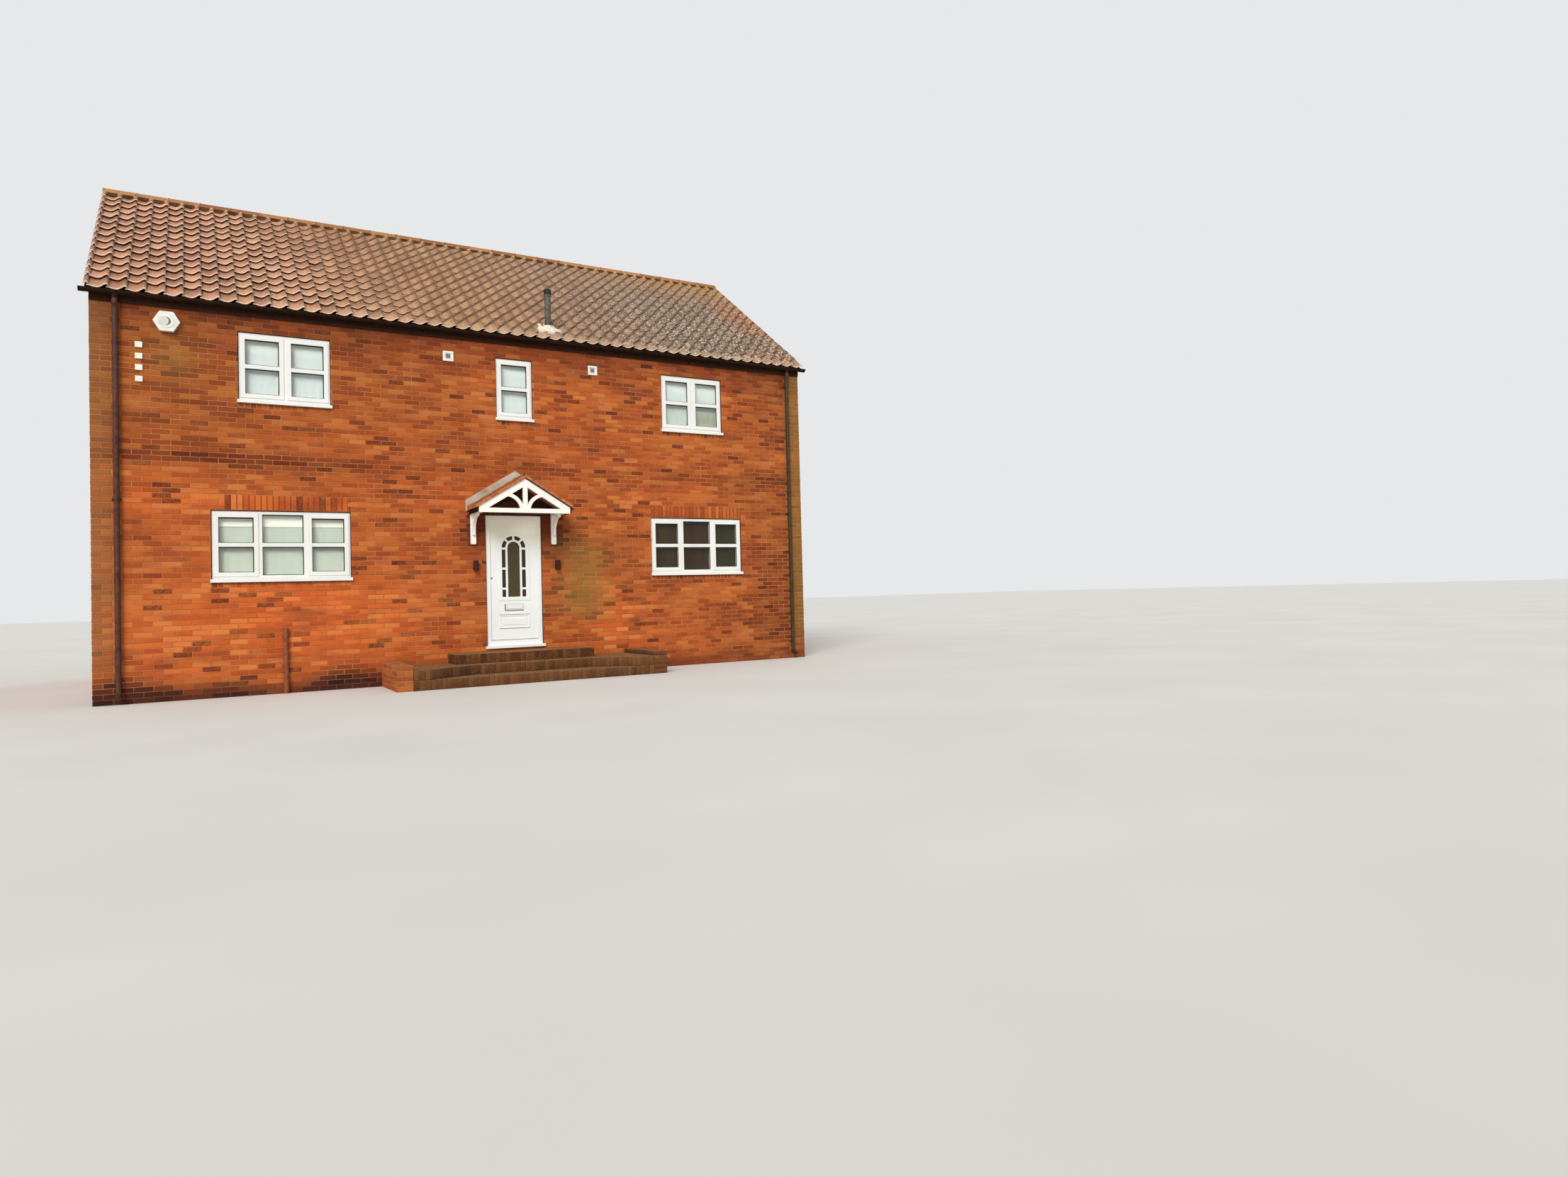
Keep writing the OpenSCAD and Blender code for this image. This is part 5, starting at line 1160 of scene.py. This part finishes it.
def brushedLock():
    # brushed nickel cylinder: grey metal with fine turned lines
    material, tree, place = newFinish("brushedNickel")
    lines = addNode(tree, "TexNoise", (), {"Vector": place, "Scale": 400, "Detail": 2}).outputs[0]
    rough = addNode(tree, "MapRange", (), {0: lines, 3: 0.25, 4: 0.5}).outputs[0]
    colour = addNode(tree, "ValToRGB", {"stops": [(0.3, "#6F6A60"), (0.7, "#97917F")]}, {0: lines}).outputs[0]
    finishSurface(tree, {"Base Color": colour, "Metallic": 1.0, "Roughness": rough})
    return material


coatFinish = powderCoat()
bevelledCopy("letterPlate", "letter_plate", coatFinish, 0.0015, "front_door")
# A dark rim round the letter plate, widest at its left and foot, drawn as a draught seal: painted shade along
# the plate's edges.
letterPlateShade = {
    "proud": 0.003,
    "wide": 0.013,
    "narrow": 0.002,
    "seat": 0.0005,
}
low, high = (np.array(corner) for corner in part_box("letter_plate"))
back, wide, narrow = high[1], letterPlateShade["wide"], letterPlateShade["narrow"]
start = (low[0] - wide, back - letterPlateShade["proud"], low[2] - wide)
points, faces = boxPoints(start, (high[0] + narrow, back + letterPlateShade["seat"], high[2] + narrow))
dress(meshPiece("letterPlateShadeRim", points, [faces]), rubberFinish, "front_door")
# Painted shade lies in a line over and under the leaf's moulded panel, as the moulding's shadow.
panel = {
    "half": 0.245,
    "foot": 0.815,
    "head": 1.035,
    "line": 0.009,
}
lows, highs = [], []
for z in (panel["foot"] - panel["line"], panel["head"]):
    lows.append((house["doorX"] - panel["half"], back - 0.001, z))
    highs.append((house["doorX"] + panel["half"], back + 0.0005, z + panel["line"]))
points, faces = boxPoints(lows, highs)
panelShadeFinish = plainFinish("mouldingShade", [(0.3, "#57534A"), (0.7, "#86827A")], 0.9, 60, 0.0002)
dress(meshPiece("panelShadeLines", points, [faces]), panelShadeFinish, "front_door")
paintNode("door_hinges", coatFinish)
paintNode("leaf_hinges", coatFinish)
paintNode("door_lock", brushedLock())
print("door done")


# Canopy over the door.
def paintedSoftwood():
    # planed softwood under brushed gloss paint: white, with faint grain and dirt in it
    material, tree, place = newFinish("paintedSoftwood")
    along = addNode(tree, "Mapping", (), {"Vector": place, "Scale": (1, 8, 8)}).outputs[0]
    stops = [(0.25, "#E4DFD0"), (0.45, "#F1EEE4"), (1.0, "#F6F4EE")]
    grain, colour = mottled(tree, along, stops, 16, 5)
    finishSurface(tree, {"Base Color": colour, "Roughness": 0.5}, grain, 0.0006)
    return material


def canopyClay():
    # small fired clay tiles of the canopy: dull terracotta with grey weathering
    material, tree, place = newFinish("canopyClay")
    stops = [(0.3, "#8C4A28"), (0.5, "#AE6236"), (0.7, "#BE784A")]
    blotch, colour = mottled(tree, place, stops, 14, 5)
    # painted shade on its front edge, where the recessed batten and verge lie in shadow: above the clay at
    # the left, below it at the right
    axes = addNode(tree, "SeparateXYZ", (), {0: place}).outputs
    aside = addNode(tree, "Math", {"operation": "SUBTRACT"}, {0: axes[0], 1: house["canopyX"]}).outputs[0]
    away = addNode(tree, "Math", {"operation": "ABSOLUTE"}, {0: aside}).outputs[0]
    slope = {0: away, 1: canopy["rise"], 2: axes[2]}
    line = addNode(tree, "Math", {"operation": "MULTIPLY_ADD"}, slope).outputs[0]
    top = canopy["peak"] + canopy["thick"]
    share = addNode(tree, "MapRange", (), {0: line, 1: canopy["peak"], 2: top}).outputs[0]
    atLeft = addNode(tree, "Math", {"operation": "LESS_THAN"}, {0: aside, 1: 0.0}).outputs[0]
    atRight = addNode(tree, "Math", {"operation": "SUBTRACT"}, {0: 1.0, 1: atLeft}).outputs[0]
    edges = []
    for test, level, side in (("GREATER_THAN", 0.8, atLeft), ("LESS_THAN", 0.28, atRight)):
        strip = addNode(tree, "Math", {"operation": test}, {0: share, 1: level}).outputs[0]
        edges.append(addNode(tree, "Math", product, {0: strip, 1: side}).outputs[0])
    edge = addNode(tree, "Math", {"operation": "ADD"}, {0: edges[0], 1: edges[1]}).outputs[0]
    face = addNode(tree, "Math", {"operation": "LESS_THAN"}, {0: axes[1], 1: canopy["faceY"]}).outputs[0]
    edge = addNode(tree, "Math", product, {0: edge, 1: face}).outputs[0]
    colour = addNode(tree, "Mix", blend, {0: edge, 6: colour, 7: "#2E180E"}).outputs[2]
    finishSurface(tree, {"Base Color": colour, "Roughness": 0.85}, blotch, 0.002)
    return material


timberFinish = paintedSoftwood()
canopyFinish = canopyClay()
bevelledCopy("canopyTruss", "canopy_truss", timberFinish, 0.002)
bevelledCopy("canopyBrackets", "canopy_brackets", timberFinish, 0.003)
paintNode("canopy_flashing", smoothedMortar())
paintNode("canopy_roof", canopyFinish)
print("canopy done")

# Brick steps: a mortar core just under the outer faces, and bricks on end, on edge and in courses round it.
stepping = {
    "half": 2.060,
    "reach": 1.400,
    "pier": 0.225,
    "landingHalf": 1.100,
    "landingDepth": 0.600,
    "middleHalf": 0.950,
    "middleDepth": 0.920,
    "lowerHalf": 1.600,
    "tops": (0.150, 0.300, 0.375, 0.450),
    "inset": 0.004,
    "share": 0.075,
    "narrowest": 0.012,
}


def stepBrickClay():
    # dark fired facing brick, worn and dirty: brown-red, paler where feet and rain have worn the treads
    material, tree, place = newFinish("wornStepBrick")
    tone = addNode(tree, "Attribute", {"attribute_name": "brickTone"}).outputs["Color"]
    tones = addNode(tree, "SeparateColor", (), {0: tone}).outputs
    look = {"Vector": place, "Scale": 30, "Detail": 5, "Roughness": 0.65}
    dirt = addNode(tree, "TexNoise", (), look).outputs[0]
    dark = [(0.0, "#361E0E"), (0.5, "#4A2C13"), (1.0, "#5E3A1B")]
    bright = [(0.0, "#A04618"), (0.5, "#BC5A22"), (1.0, "#CC7236")]
    browns = addNode(tree, "ValToRGB", {"stops": dark}, {0: tones[0]}).outputs[0]
    reds = addNode(tree, "ValToRGB", {"stops": bright}, {0: tones[0]}).outputs[0]
    colour = addNode(tree, "Mix", blend, {0: tones[2], 6: browns, 7: reds}).outputs[2]
    worn = addNode(tree, "MapRange", (), {0: dirt, 1: 0.5, 2: 0.72, 3: 0.0, 4: 0.4}).outputs[0]
    worn = addNode(tree, "Math", {"operation": "MAXIMUM"}, {0: worn, 1: tones[1]}).outputs[0]
    colour = addNode(tree, "Mix", blend, {0: worn, 6: colour, 7: "#96724C"}).outputs[2]
    finishSurface(tree, {"Base Color": colour, "Roughness": 0.85, "Specular IOR Level": 0.2}, dirt, 0.0015)
    return material


def stepMortar():
    # cement mortar between the step bricks: grey-buff
    material, tree, place = newFinish("stepMortar")
    stops = [(0.3, "#35220F"), (0.5, "#4A3218"), (0.7, "#6A4C2C")]
    grit, colour = mottled(tree, place, stops, 60, 5)
    finishSurface(tree, {"Base Color": colour, "Roughness": 0.95}, grit, 0.002)
    return material


def insetOutline(outline, gap):
    # each side of an anticlockwise outline moves in by gap, and neighbours meet again
    outline = np.asarray(outline, float)
    side = np.roll(outline, -1, 0) - outline
    side /= np.linalg.norm(side, axis=1, keepdims=True)
    inward = np.stack([-side[:, 1], side[:, 0]], -1)
    before, beforeSide = np.roll(inward, 1, 0), np.roll(side, 1, 0)
    turn = (side * beforeSide).sum(1)
    return outline + gap * (inward + before) / (1 + turn)[:, None]


def stepPiece(name, node, outline, foot, top, faces, material):
    # the core is the outline extruded inside its faces, one quad a side and a fan on top
    inner = insetOutline(outline, stepping["inset"])
    count = len(inner)
    low = np.column_stack([inner, np.full(count, foot)])
    high = np.column_stack([inner, np.full(count, top - stepping["inset"])])
    k = np.arange(count)
    sides = np.stack([k, (k + 1) % count, (k + 1) % count + count, k + count], -1)
    ends = [[list(k + count)], [list(k[::-1])]]
    core = meshPiece(name + "Core", np.concatenate([low, high]), [sides, *ends])
    dress(core, pierMortarFinish if node == "step_piers" else stepMortarFinish)
    points, tones = [], []
    for corners, origin, along, up, warmth in faces:
        corners = corners + dice.normal(0, brickwork["wobble"], corners.shape)
        count = len(corners)
        depths = np.full(count, 0.001)
        points.append(brickPoints(corners, origin, along, up, depths, stepping["inset"] - 0.001))
        tone = wallTone(corners.mean(1), np.full(count, warmth), np.zeros((count, 4)))[0]
        # green is how worn a brick is: treads all over, risers along their upper edge
        tone[:, 1] = 0.55 * (up[1] > 0.5)
        if up[2] > 0.5 and foot + top < 0.7:
            tone.reshape(-1, 12, 4)[:, [6, 7, 10, 11], 1] = (0.95, 0.95, 0.2, 0.2)
        tones.append(tone)
    points = np.concatenate(points)
    bricks = [repeated(brickFaces, len(points) // 12, 12)]
    piece = meshPiece(name + "Bricks", points, bricks, None, {"brickTone": np.concatenate(tones)})
    return dress(piece, material, replaced=[node])


def riser(start, end, foot, top, warmth=0.1, courses=False):
    # the upright face from start to end, seen with its left end at start
    start, end = np.asarray(start, float), np.asarray(end, float)
    length = np.linalg.norm(end - start)
    along = (end - start) / length
    out = np.array([along[1], -along[0]])
    origin = np.append(start - out * stepping["inset"], 0.0)
    if not courses:
        rects = bricksInRow(0, length, foot, top, max(1, round(length / stepping["share"])))
    elif length < 0.3:
        # a pier's face has one stretcher or two headers in a course
        levels = foot + np.arange(round((top - foot) / pitchV) + 1) * pitchV
        rows = enumerate(zip(levels[:-1], levels[1:]))
        rects = np.concatenate([bricksInRow(0, length, low, high, 1 + i % 2) for i, (low, high) in rows])
    else:
        rects = stretcherBond(length, top - foot, foot)
    return cornersOf(rects), origin, np.append(along, 0.0), (0, 0, 1), warmth


def tread(left, right, front, back, z, warmth=0.1, lowLimit=None, highLimit=None):
    # bricks on edge in rows from the back, cut where the step's front runs at an angle
    count = round((right - left) / stepping["share"])
    rows = max(1, round((back - front) / pitchU))
    edges = np.linspace(back, front, rows + 1)
    rects = np.concatenate([bricksInRow(left, right, b, a, count) for a, b in zip(edges[:-1], edges[1:])])
    corners = cornersOf(rects)
    if lowLimit is not None:
        corners[..., 1] = np.maximum(corners[..., 1], lowLimit(corners[..., 0]) + brickwork["joint"] / 2)
    if highLimit is not None:
        corners[..., 1] = np.minimum(corners[..., 1], highLimit(corners[..., 0]) - brickwork["joint"] / 2)
    tall = (corners[:, 2:, 1] - corners[:, 1::-1, 1]).min(1)
    corners = corners[tall > stepping["narrowest"]]
    return corners, (0, 0, z - stepping["inset"]), (1, 0, 0), (0, 1, 0), warmth


stepFinish = stepBrickClay()
stepMortarFinish = stepMortar()
pierMortarFinish = plainFinish("sandLimeMortar", [(0.3, "#8A5C34"), (0.7, "#B48252")], 0.95, 40, 0.001, 0.2)
middle, wall = house["stepsX"], house["front"]
lowerTop, middleTop, pierTop, landingTop = stepping["tops"]
front = wall - stepping["reach"]
inner = stepping["half"] - stepping["pier"]
turnY = wall - stepping["middleDepth"]
halves = np.array([inner, stepping["lowerHalf"], stepping["middleHalf"]])


def wingFront(x):
    # front edge of the middle step: straight in the middle, slanting forward to the wings
    knots = np.concatenate([-halves, halves[::-1]])
    return np.interp(np.asarray(x) - middle, knots, [front, front, turnY, turnY, front, front])


# Corners of the steps, from the left: wing, lower step, turn of the middle step, and the same mirrored.
wingL, lowerL, turnL = middle - halves
wingR, lowerR, turnR = middle + halves
landL, landR = middle - stepping["landingHalf"], middle + stepping["landingHalf"]
landY = wall - stepping["landingDepth"]
outline = [(lowerL, front), (lowerR, front), (turnR, turnY), (turnL, turnY)]
faces = [
    riser((lowerL, front), (lowerR, front), 0, lowerTop),
    tread(lowerL, lowerR, front, turnY, lowerTop, 0.1, None, wingFront),
]
stepPiece("lowerStep", "lower_step", outline, 0, lowerTop, faces, stepFinish)
outline = [(wingL, front), (lowerL, front), (turnL, turnY), (turnR, turnY), (lowerR, front), (wingR, front),
           (wingR, wall), (wingL, wall)]
faces = [
    riser((wingL, front), (lowerL, front), 0, lowerTop),
    riser((wingL, front), (lowerL, front), lowerTop, middleTop),
    riser((lowerL, front), (turnL, turnY), lowerTop, middleTop),
    riser((turnL, turnY), (turnR, turnY), lowerTop, middleTop),
    riser((turnR, turnY), (lowerR, front), lowerTop, middleTop),
    riser((lowerR, front), (wingR, front), 0, lowerTop),
    riser((lowerR, front), (wingR, front), lowerTop, middleTop),
    tread(wingL, wingR, front, wall, middleTop, 0.1, wingFront),
]
stepPiece("middleStep", "middle_step", outline, 0, middleTop, faces, stepFinish)
outline = [(landL, landY), (landR, landY), (landR, wall), (landL, wall)]
faces = [
    riser((landL, landY), (landR, landY), middleTop, landingTop),
    riser((landL, wall), (landL, landY), middleTop, landingTop),
    riser((landR, landY), (landR, wall), middleTop, landingTop),
    tread(landL, landR, landY, wall, landingTop, 0.15),
]
stepPiece("entranceLanding", "entrance_landing", outline, middleTop, landingTop, faces, stepFinish)
pierFaces, pierOutlines = [], []
for low, high, warmth in ((wingL - stepping["pier"], wingL, 0.75), (wingR, wingR + stepping["pier"], 0.15)):
    pierFaces += [
        riser((low, front), (high, front), 0, pierTop, warmth, True),
        riser((high, front), (high, wall), 0, pierTop, warmth, True),
        riser((low, wall), (low, front), 0, pierTop, warmth, True),
        tread(low, high, front, wall, pierTop, warmth * 0.7),
    ]
    pierOutlines.append([(low, front), (high, front), (high, wall), (low, wall)])
stepPiece("stepPiers", "step_piers", pierOutlines[0], 0, pierTop, pierFaces, stepFinish)
(lowX, lowY), (highX, highY) = pierOutlines[1][0], pierOutlines[1][2]
inset = stepping["inset"]
points, faces = boxPoints((lowX + inset, lowY + inset, 0), (highX - inset, highY - inset, pierTop - inset))
dress(meshPiece("rightPierCore", points, [faces]), stepMortarFinish)
print("steps done")


# Small pieces and finishes of the nodes that stay.
def rainwaterPlastic():
    # extruded PVC downpipes: dark red-brown on the left of the house, weathered olive-black on the right
    material, tree, place = newFinish("rainwaterPlastic")
    axes = addNode(tree, "SeparateXYZ", (), {0: place}).outputs
    side = addNode(tree, "MapRange", (), {0: axes[0], 1: -1.0, 2: 1.0}).outputs[0]
    dust, left = mottled(tree, place, [(0.3, "#3C2018"), (0.7, "#5B382B")], 12, 5)
    right = addNode(tree, "ValToRGB", {"stops": [(0.3, "#2A2312"), (0.7, "#463A20")]}, {0: dust}).outputs[0]
    colour = addNode(tree, "Mix", blend, {0: side, 6: left, 7: right}).outputs[2]
    finishSurface(tree, {"Base Color": colour, "Roughness": 0.5, "Specular IOR Level": 0.25})
    return material


venting = {
    "x": 0.725,
    "y": -2.98,
    "pipe": 0.056,
    "dirtyFoot": (6.10, 6.02),
    "headFoot": 6.555,
    "skirtS": 0.322,
    "skirtWide": 0.205,
    "skirtLong": 0.12,
    "skirtTop": 0.106,
}


def soilPlastic():
    # moulded PVC vent pipe gone grey-brown outdoors, with a black cage on top and a mortared foot
    material, tree, place = newFinish("weatheredSoilPlastic")
    axes = addNode(tree, "SeparateXYZ", (), {0: place}).outputs
    dust, colour = mottled(tree, place, [(0.3, "#46433B"), (0.7, "#6C675D")], 20, 5)
    top = venting["headFoot"]
    for (start, end), code in (((top - 0.01, top), "#241F1A"), (venting["dirtyFoot"], "#2E2A23")):
        share = addNode(tree, "MapRange", (), {0: axes[2], 1: start, 2: end}).outputs[0]
        colour = addNode(tree, "Mix", blend, {0: share, 6: colour, 7: code}).outputs[2]
    # the sheet round the pipe's foot is mortared: all that lies further out than the pipe's wall
    centre = {"Vector": place, "Location": (-venting["x"], -venting["y"], 0), "Scale": (1, 1, 0)}
    flat = addNode(tree, "Mapping", (), centre).outputs[0]
    away = addNode(tree, "VectorMath", {"operation": "LENGTH"}, {0: flat}).outputs["Value"]
    limit = venting["pipe"] + 0.006
    sheet = addNode(tree, "Math", {"operation": "GREATER_THAN"}, {0: away, 1: limit}).outputs[0]
    colour = addNode(tree, "Mix", blend, {0: sheet, 6: colour, 7: "#E4D8C4"}).outputs[2]
    finishSurface(tree, {"Base Color": colour, "Roughness": 0.6, "Specular IOR Level": 0.3}, dust, 0.0003)
    return material


def ventSkirt():
    # a low dome laid on the tiles, wavy round its rim: its height falls ever more steeply towards the rim
    around, rings = 40, np.array([0.12, 0.45, 0.7, 0.86, 0.95, 1.0, 0.98, 0.12])
    angle = np.linspace(0, 2 * math.pi, around, endpoint=False)[None, :]
    wave = 1 + 0.11 * np.sin(3 * angle + 1) + 0.08 * np.sin(5 * angle + 2) + 0.04 * np.sin(9 * angle)
    x = venting["x"] + venting["skirtWide"] * rings[:, None] * wave * np.cos(angle)
    s = venting["skirtS"] + venting["skirtLong"] * rings[:, None] * wave * np.sin(angle)
    drop = np.array([0, 0.006, 0.014, 0.024, 0.040, 0.075, 0.100, 0.105])[:, None]
    lumps = 0.003 * np.sin(7 * angle + 5 * rings[:, None]) * (rings[:, None] < 0.97)
    points = onSlope(x, s, venting["skirtTop"] - drop + lumps)
    skin = gridFaces(len(rings), around, closeColumns=True)
    last = (len(rings) - 1) * around
    return points, [skin, [list(range(around))[::-1]], [list(range(last, last + around))]]


# Painted shade in the recessed louvres of the two vent covers: their middles and half sizes.
louvres = {
    "xs": (-0.96, 1.419),
    "z": 5.263,
    "halfWide": 0.034,
    "halfHigh": 0.036,
    "dirt": 0.85,
}


def louvredAbs():
    # moulded ABS louvre grille: white rim, with painted shade darkening the recessed slats in the middle
    material, tree, place = newFinish("louvredAbs")
    axes = addNode(tree, "SeparateXYZ", (), {0: place}).outputs
    dust, colour = mottled(tree, place, [(0.3, "#DDDBD0"), (0.7, "#ECEBE4")], 18, 4)
    limits = {0: axes[2], 1: louvres["z"], 2: louvres["halfHigh"]}
    inZ = addNode(tree, "Math", {"operation": "COMPARE"}, limits).outputs[0]
    # painted shade over the recessed slats in the middle of each cover
    for middle in louvres["xs"]:
        limits = {0: axes[0], 1: middle, 2: louvres["halfWide"]}
        dark = addNode(tree, "Math", {"operation": "COMPARE"}, limits).outputs[0]
        for part in (inZ, louvres["dirt"]):
            dark = addNode(tree, "Math", product, {0: dark, 1: part}).outputs[0]
        colour = addNode(tree, "Mix", blend, {0: dark, 6: colour, 7: "#6A5A48"}).outputs[2]
    finishSurface(tree, {"Base Color": colour, "Roughness": 0.45}, dust, 0.0002)
    return material


points, faces = ventSkirt()
skirt = meshPiece("ventPipeMortar", points, faces, 40)
shape = bmesh.new()
shape.from_mesh(skirt.data)
bmesh.ops.recalc_face_normals(shape, faces=shape.faces)
shape.to_mesh(skirt.data)
shape.free()
skirtFinish = plainFinish("whitenedMortar", [(0.3, "#C9B9A0"), (0.6, "#EBE0CE")], 0.92, 26, 0.0015, 0.2)
dress(skirt, skirtFinish)


# The alarm's middle, and the two circles, each moved aside from it, that make its crescent of painted shade.
alarm = {
    "middle": (-4.705, 5.345),
    "circles": ((0.0, 0.062), (-0.034, 0.066)),
    "edge": 0.004,
}


def alarmShell():
    # moulded ABS siren cover, white with age, with a dark crescent beside its middle: painted shade, drawn as
    # a smoky crescent window
    material, tree, place = newFinish("agedAbsCover")
    dust, colour = mottled(tree, place, [(0.3, "#DAD8CB"), (0.7, "#ECEAE0")], 14, 4)
    # the crescent is inside one circle and outside another that lies further left
    masks = []
    for aside, radius in alarm["circles"]:
        middle = (-alarm["middle"][0] - aside, 0, -alarm["middle"][1])
        centre = {"Vector": place, "Location": middle, "Scale": (1, 0, 1)}
        flat = addNode(tree, "Mapping", (), centre).outputs[0]
        away = addNode(tree, "VectorMath", {"operation": "LENGTH"}, {0: flat}).outputs["Value"]
        rim = {0: away, 1: radius + alarm["edge"], 2: radius - alarm["edge"]}
        masks.append(addNode(tree, "MapRange", (), rim).outputs[0])
    lens = addNode(tree, "Math", product, {0: masks[1], 1: 0.35}).outputs[0]
    colour = addNode(tree, "Mix", blend, {0: lens, 6: colour, 7: "#A9B0A2"}).outputs[2]
    less = {"operation": "SUBTRACT", "use_clamp": True}
    crescentShade = addNode(tree, "Math", less, {0: masks[0], 1: masks[1]}).outputs[0]
    crescentShade = addNode(tree, "Math", product, {0: crescentShade, 1: 0.85}).outputs[0]
    colour = addNode(tree, "Mix", blend, {0: crescentShade, 6: colour, 7: "#585C4E"}).outputs[2]
    finishSurface(tree, {"Base Color": colour, "Roughness": 0.4}, dust, 0.0003)
    return material


# Nodes that stay as they are, with a plain finish: its name, darkest and lightest colour, roughness, scale,
# depth and gloss.
plainNodes = {
    "gutters": ("blackGutterPlastic", "#1F110A", "#301B11", 0.8, 14, 0.0002, 0.08),
    "fascias": ("stainedFascia", "#26140C", "#3A2115", 0.75, 30, 0.0008, 0.08),
    "ground_floor": ("floatedConcrete", "#6E665B", "#857C6F", 0.8, 6, 0.0008, 0.5),
    "first_floor": ("pineBoards", "#6E4D30", "#8E6743", 0.6, 10, 0.0008, 0.5),
    "standpipe": ("brownStandpipe", "#6E3820", "#945434", 0.6, 18, 0.0004, 0.3),
}
for node, (title, dark, light, *rest) in plainNodes.items():
    paintNode(node, plainFinish(title, [(0.3, dark), (0.7, light)], *rest))
paintNode("downpipes", rainwaterPlastic())
paintNode("soil_vent_pipe", soilPlastic())
coverFinish = plainFinish("mouldedAbs", [(0.3, "#E2DFCF"), (0.7, "#F0EEE2")], 0.4, 8, 0.0002)
bevelledCopy("alarmBox", "alarm_box", alarmShell(), 0.008)
bevelledCopy("wallPlates", "wall_plates", coverFinish, 0.003)
bevelledCopy("ventCovers", "vent_covers", louvredAbs(), 0.0015)
lampFinish = plainFinish("bronzedLamp", [(0.3, "#2A130B"), (0.7, "#452012")], 0.5, 30, 0.0004, 0.2)
bevelledCopy("wallLights", "wall_lights", lampFinish, 0.003)
print("small pieces done")

# Plain pale floor, and a plain soft studio light.
studio = {
    "floor": [(0.3, "#D3D0C9"), (0.7, "#D9D6CF")],
    "floorHalf": 160,
    "floorZ": -0.002,
    "background": "#E6E8E9",
    "worldLight": 0.65,
    "sun": 2.4,
    "sunAngle": 28,
    "sunFrom": (-0.50, -0.72, 0.62),
}
half, z = studio["floorHalf"], studio["floorZ"]
corners = [(-half, -half, z), (half, -half, z), (half, half, z), (-half, half, z)]
floor = meshPiece("studioFloor", corners, [[[0, 1, 2, 3]]])
material, tree, place = newFinish("paintedStudioFloor")
mottle = addNode(tree, "TexNoise", (), {"Vector": place, "Scale": 0.4}).outputs[0]
colour = addNode(tree, "ValToRGB", {"stops": studio["floor"]}, {0: mottle}).outputs[0]
finishSurface(tree, {"Base Color": colour, "Roughness": 0.9})
floor.data.materials.append(material)
world = bpy.data.worlds.new("studioWorld")
world.use_nodes = True
tree = world.node_tree
tree.nodes.clear()
path = addNode(tree, "LightPath").outputs
seen = path["Is Camera Ray"]
for ray in ("Is Glossy Ray", "Is Transmission Ray"):
    seen = addNode(tree, "Math", {"operation": "MAXIMUM"}, {0: seen, 1: path[ray]}).outputs[0]
lit = addNode(tree, "Background", (), {"Color": "#F4F6F8", "Strength": studio["worldLight"]}).outputs[0]
pale = addNode(tree, "Background", (), {"Color": studio["background"], "Strength": 1.0}).outputs[0]
shown = addNode(tree, "MixShader", (), {0: seen, 1: lit, 2: pale}).outputs[0]
addNode(tree, "OutputWorld", (), {"Surface": shown})
bpy.context.scene.world = world
sunData = bpy.data.lights.new("softSun", "SUN")
sunData.energy = studio["sun"]
sunData.angle = math.radians(studio["sunAngle"])
sunObject = bpy.data.objects.new("softSun", sunData)
back = np.array(studio["sunFrom"]) / np.linalg.norm(studio["sunFrom"])
sideways = np.cross((0, 0, 1), back)
sideways /= np.linalg.norm(sideways)
aim = np.eye(4)
aim[:3, :3] = np.column_stack([sideways, np.cross(back, sideways), back])
sunObject.matrix_world = Matrix(aim.tolist())
bpy.context.scene.collection.objects.link(sunObject)
bpy.context.scene.view_settings.view_transform = "Standard"
print("floor and light done")
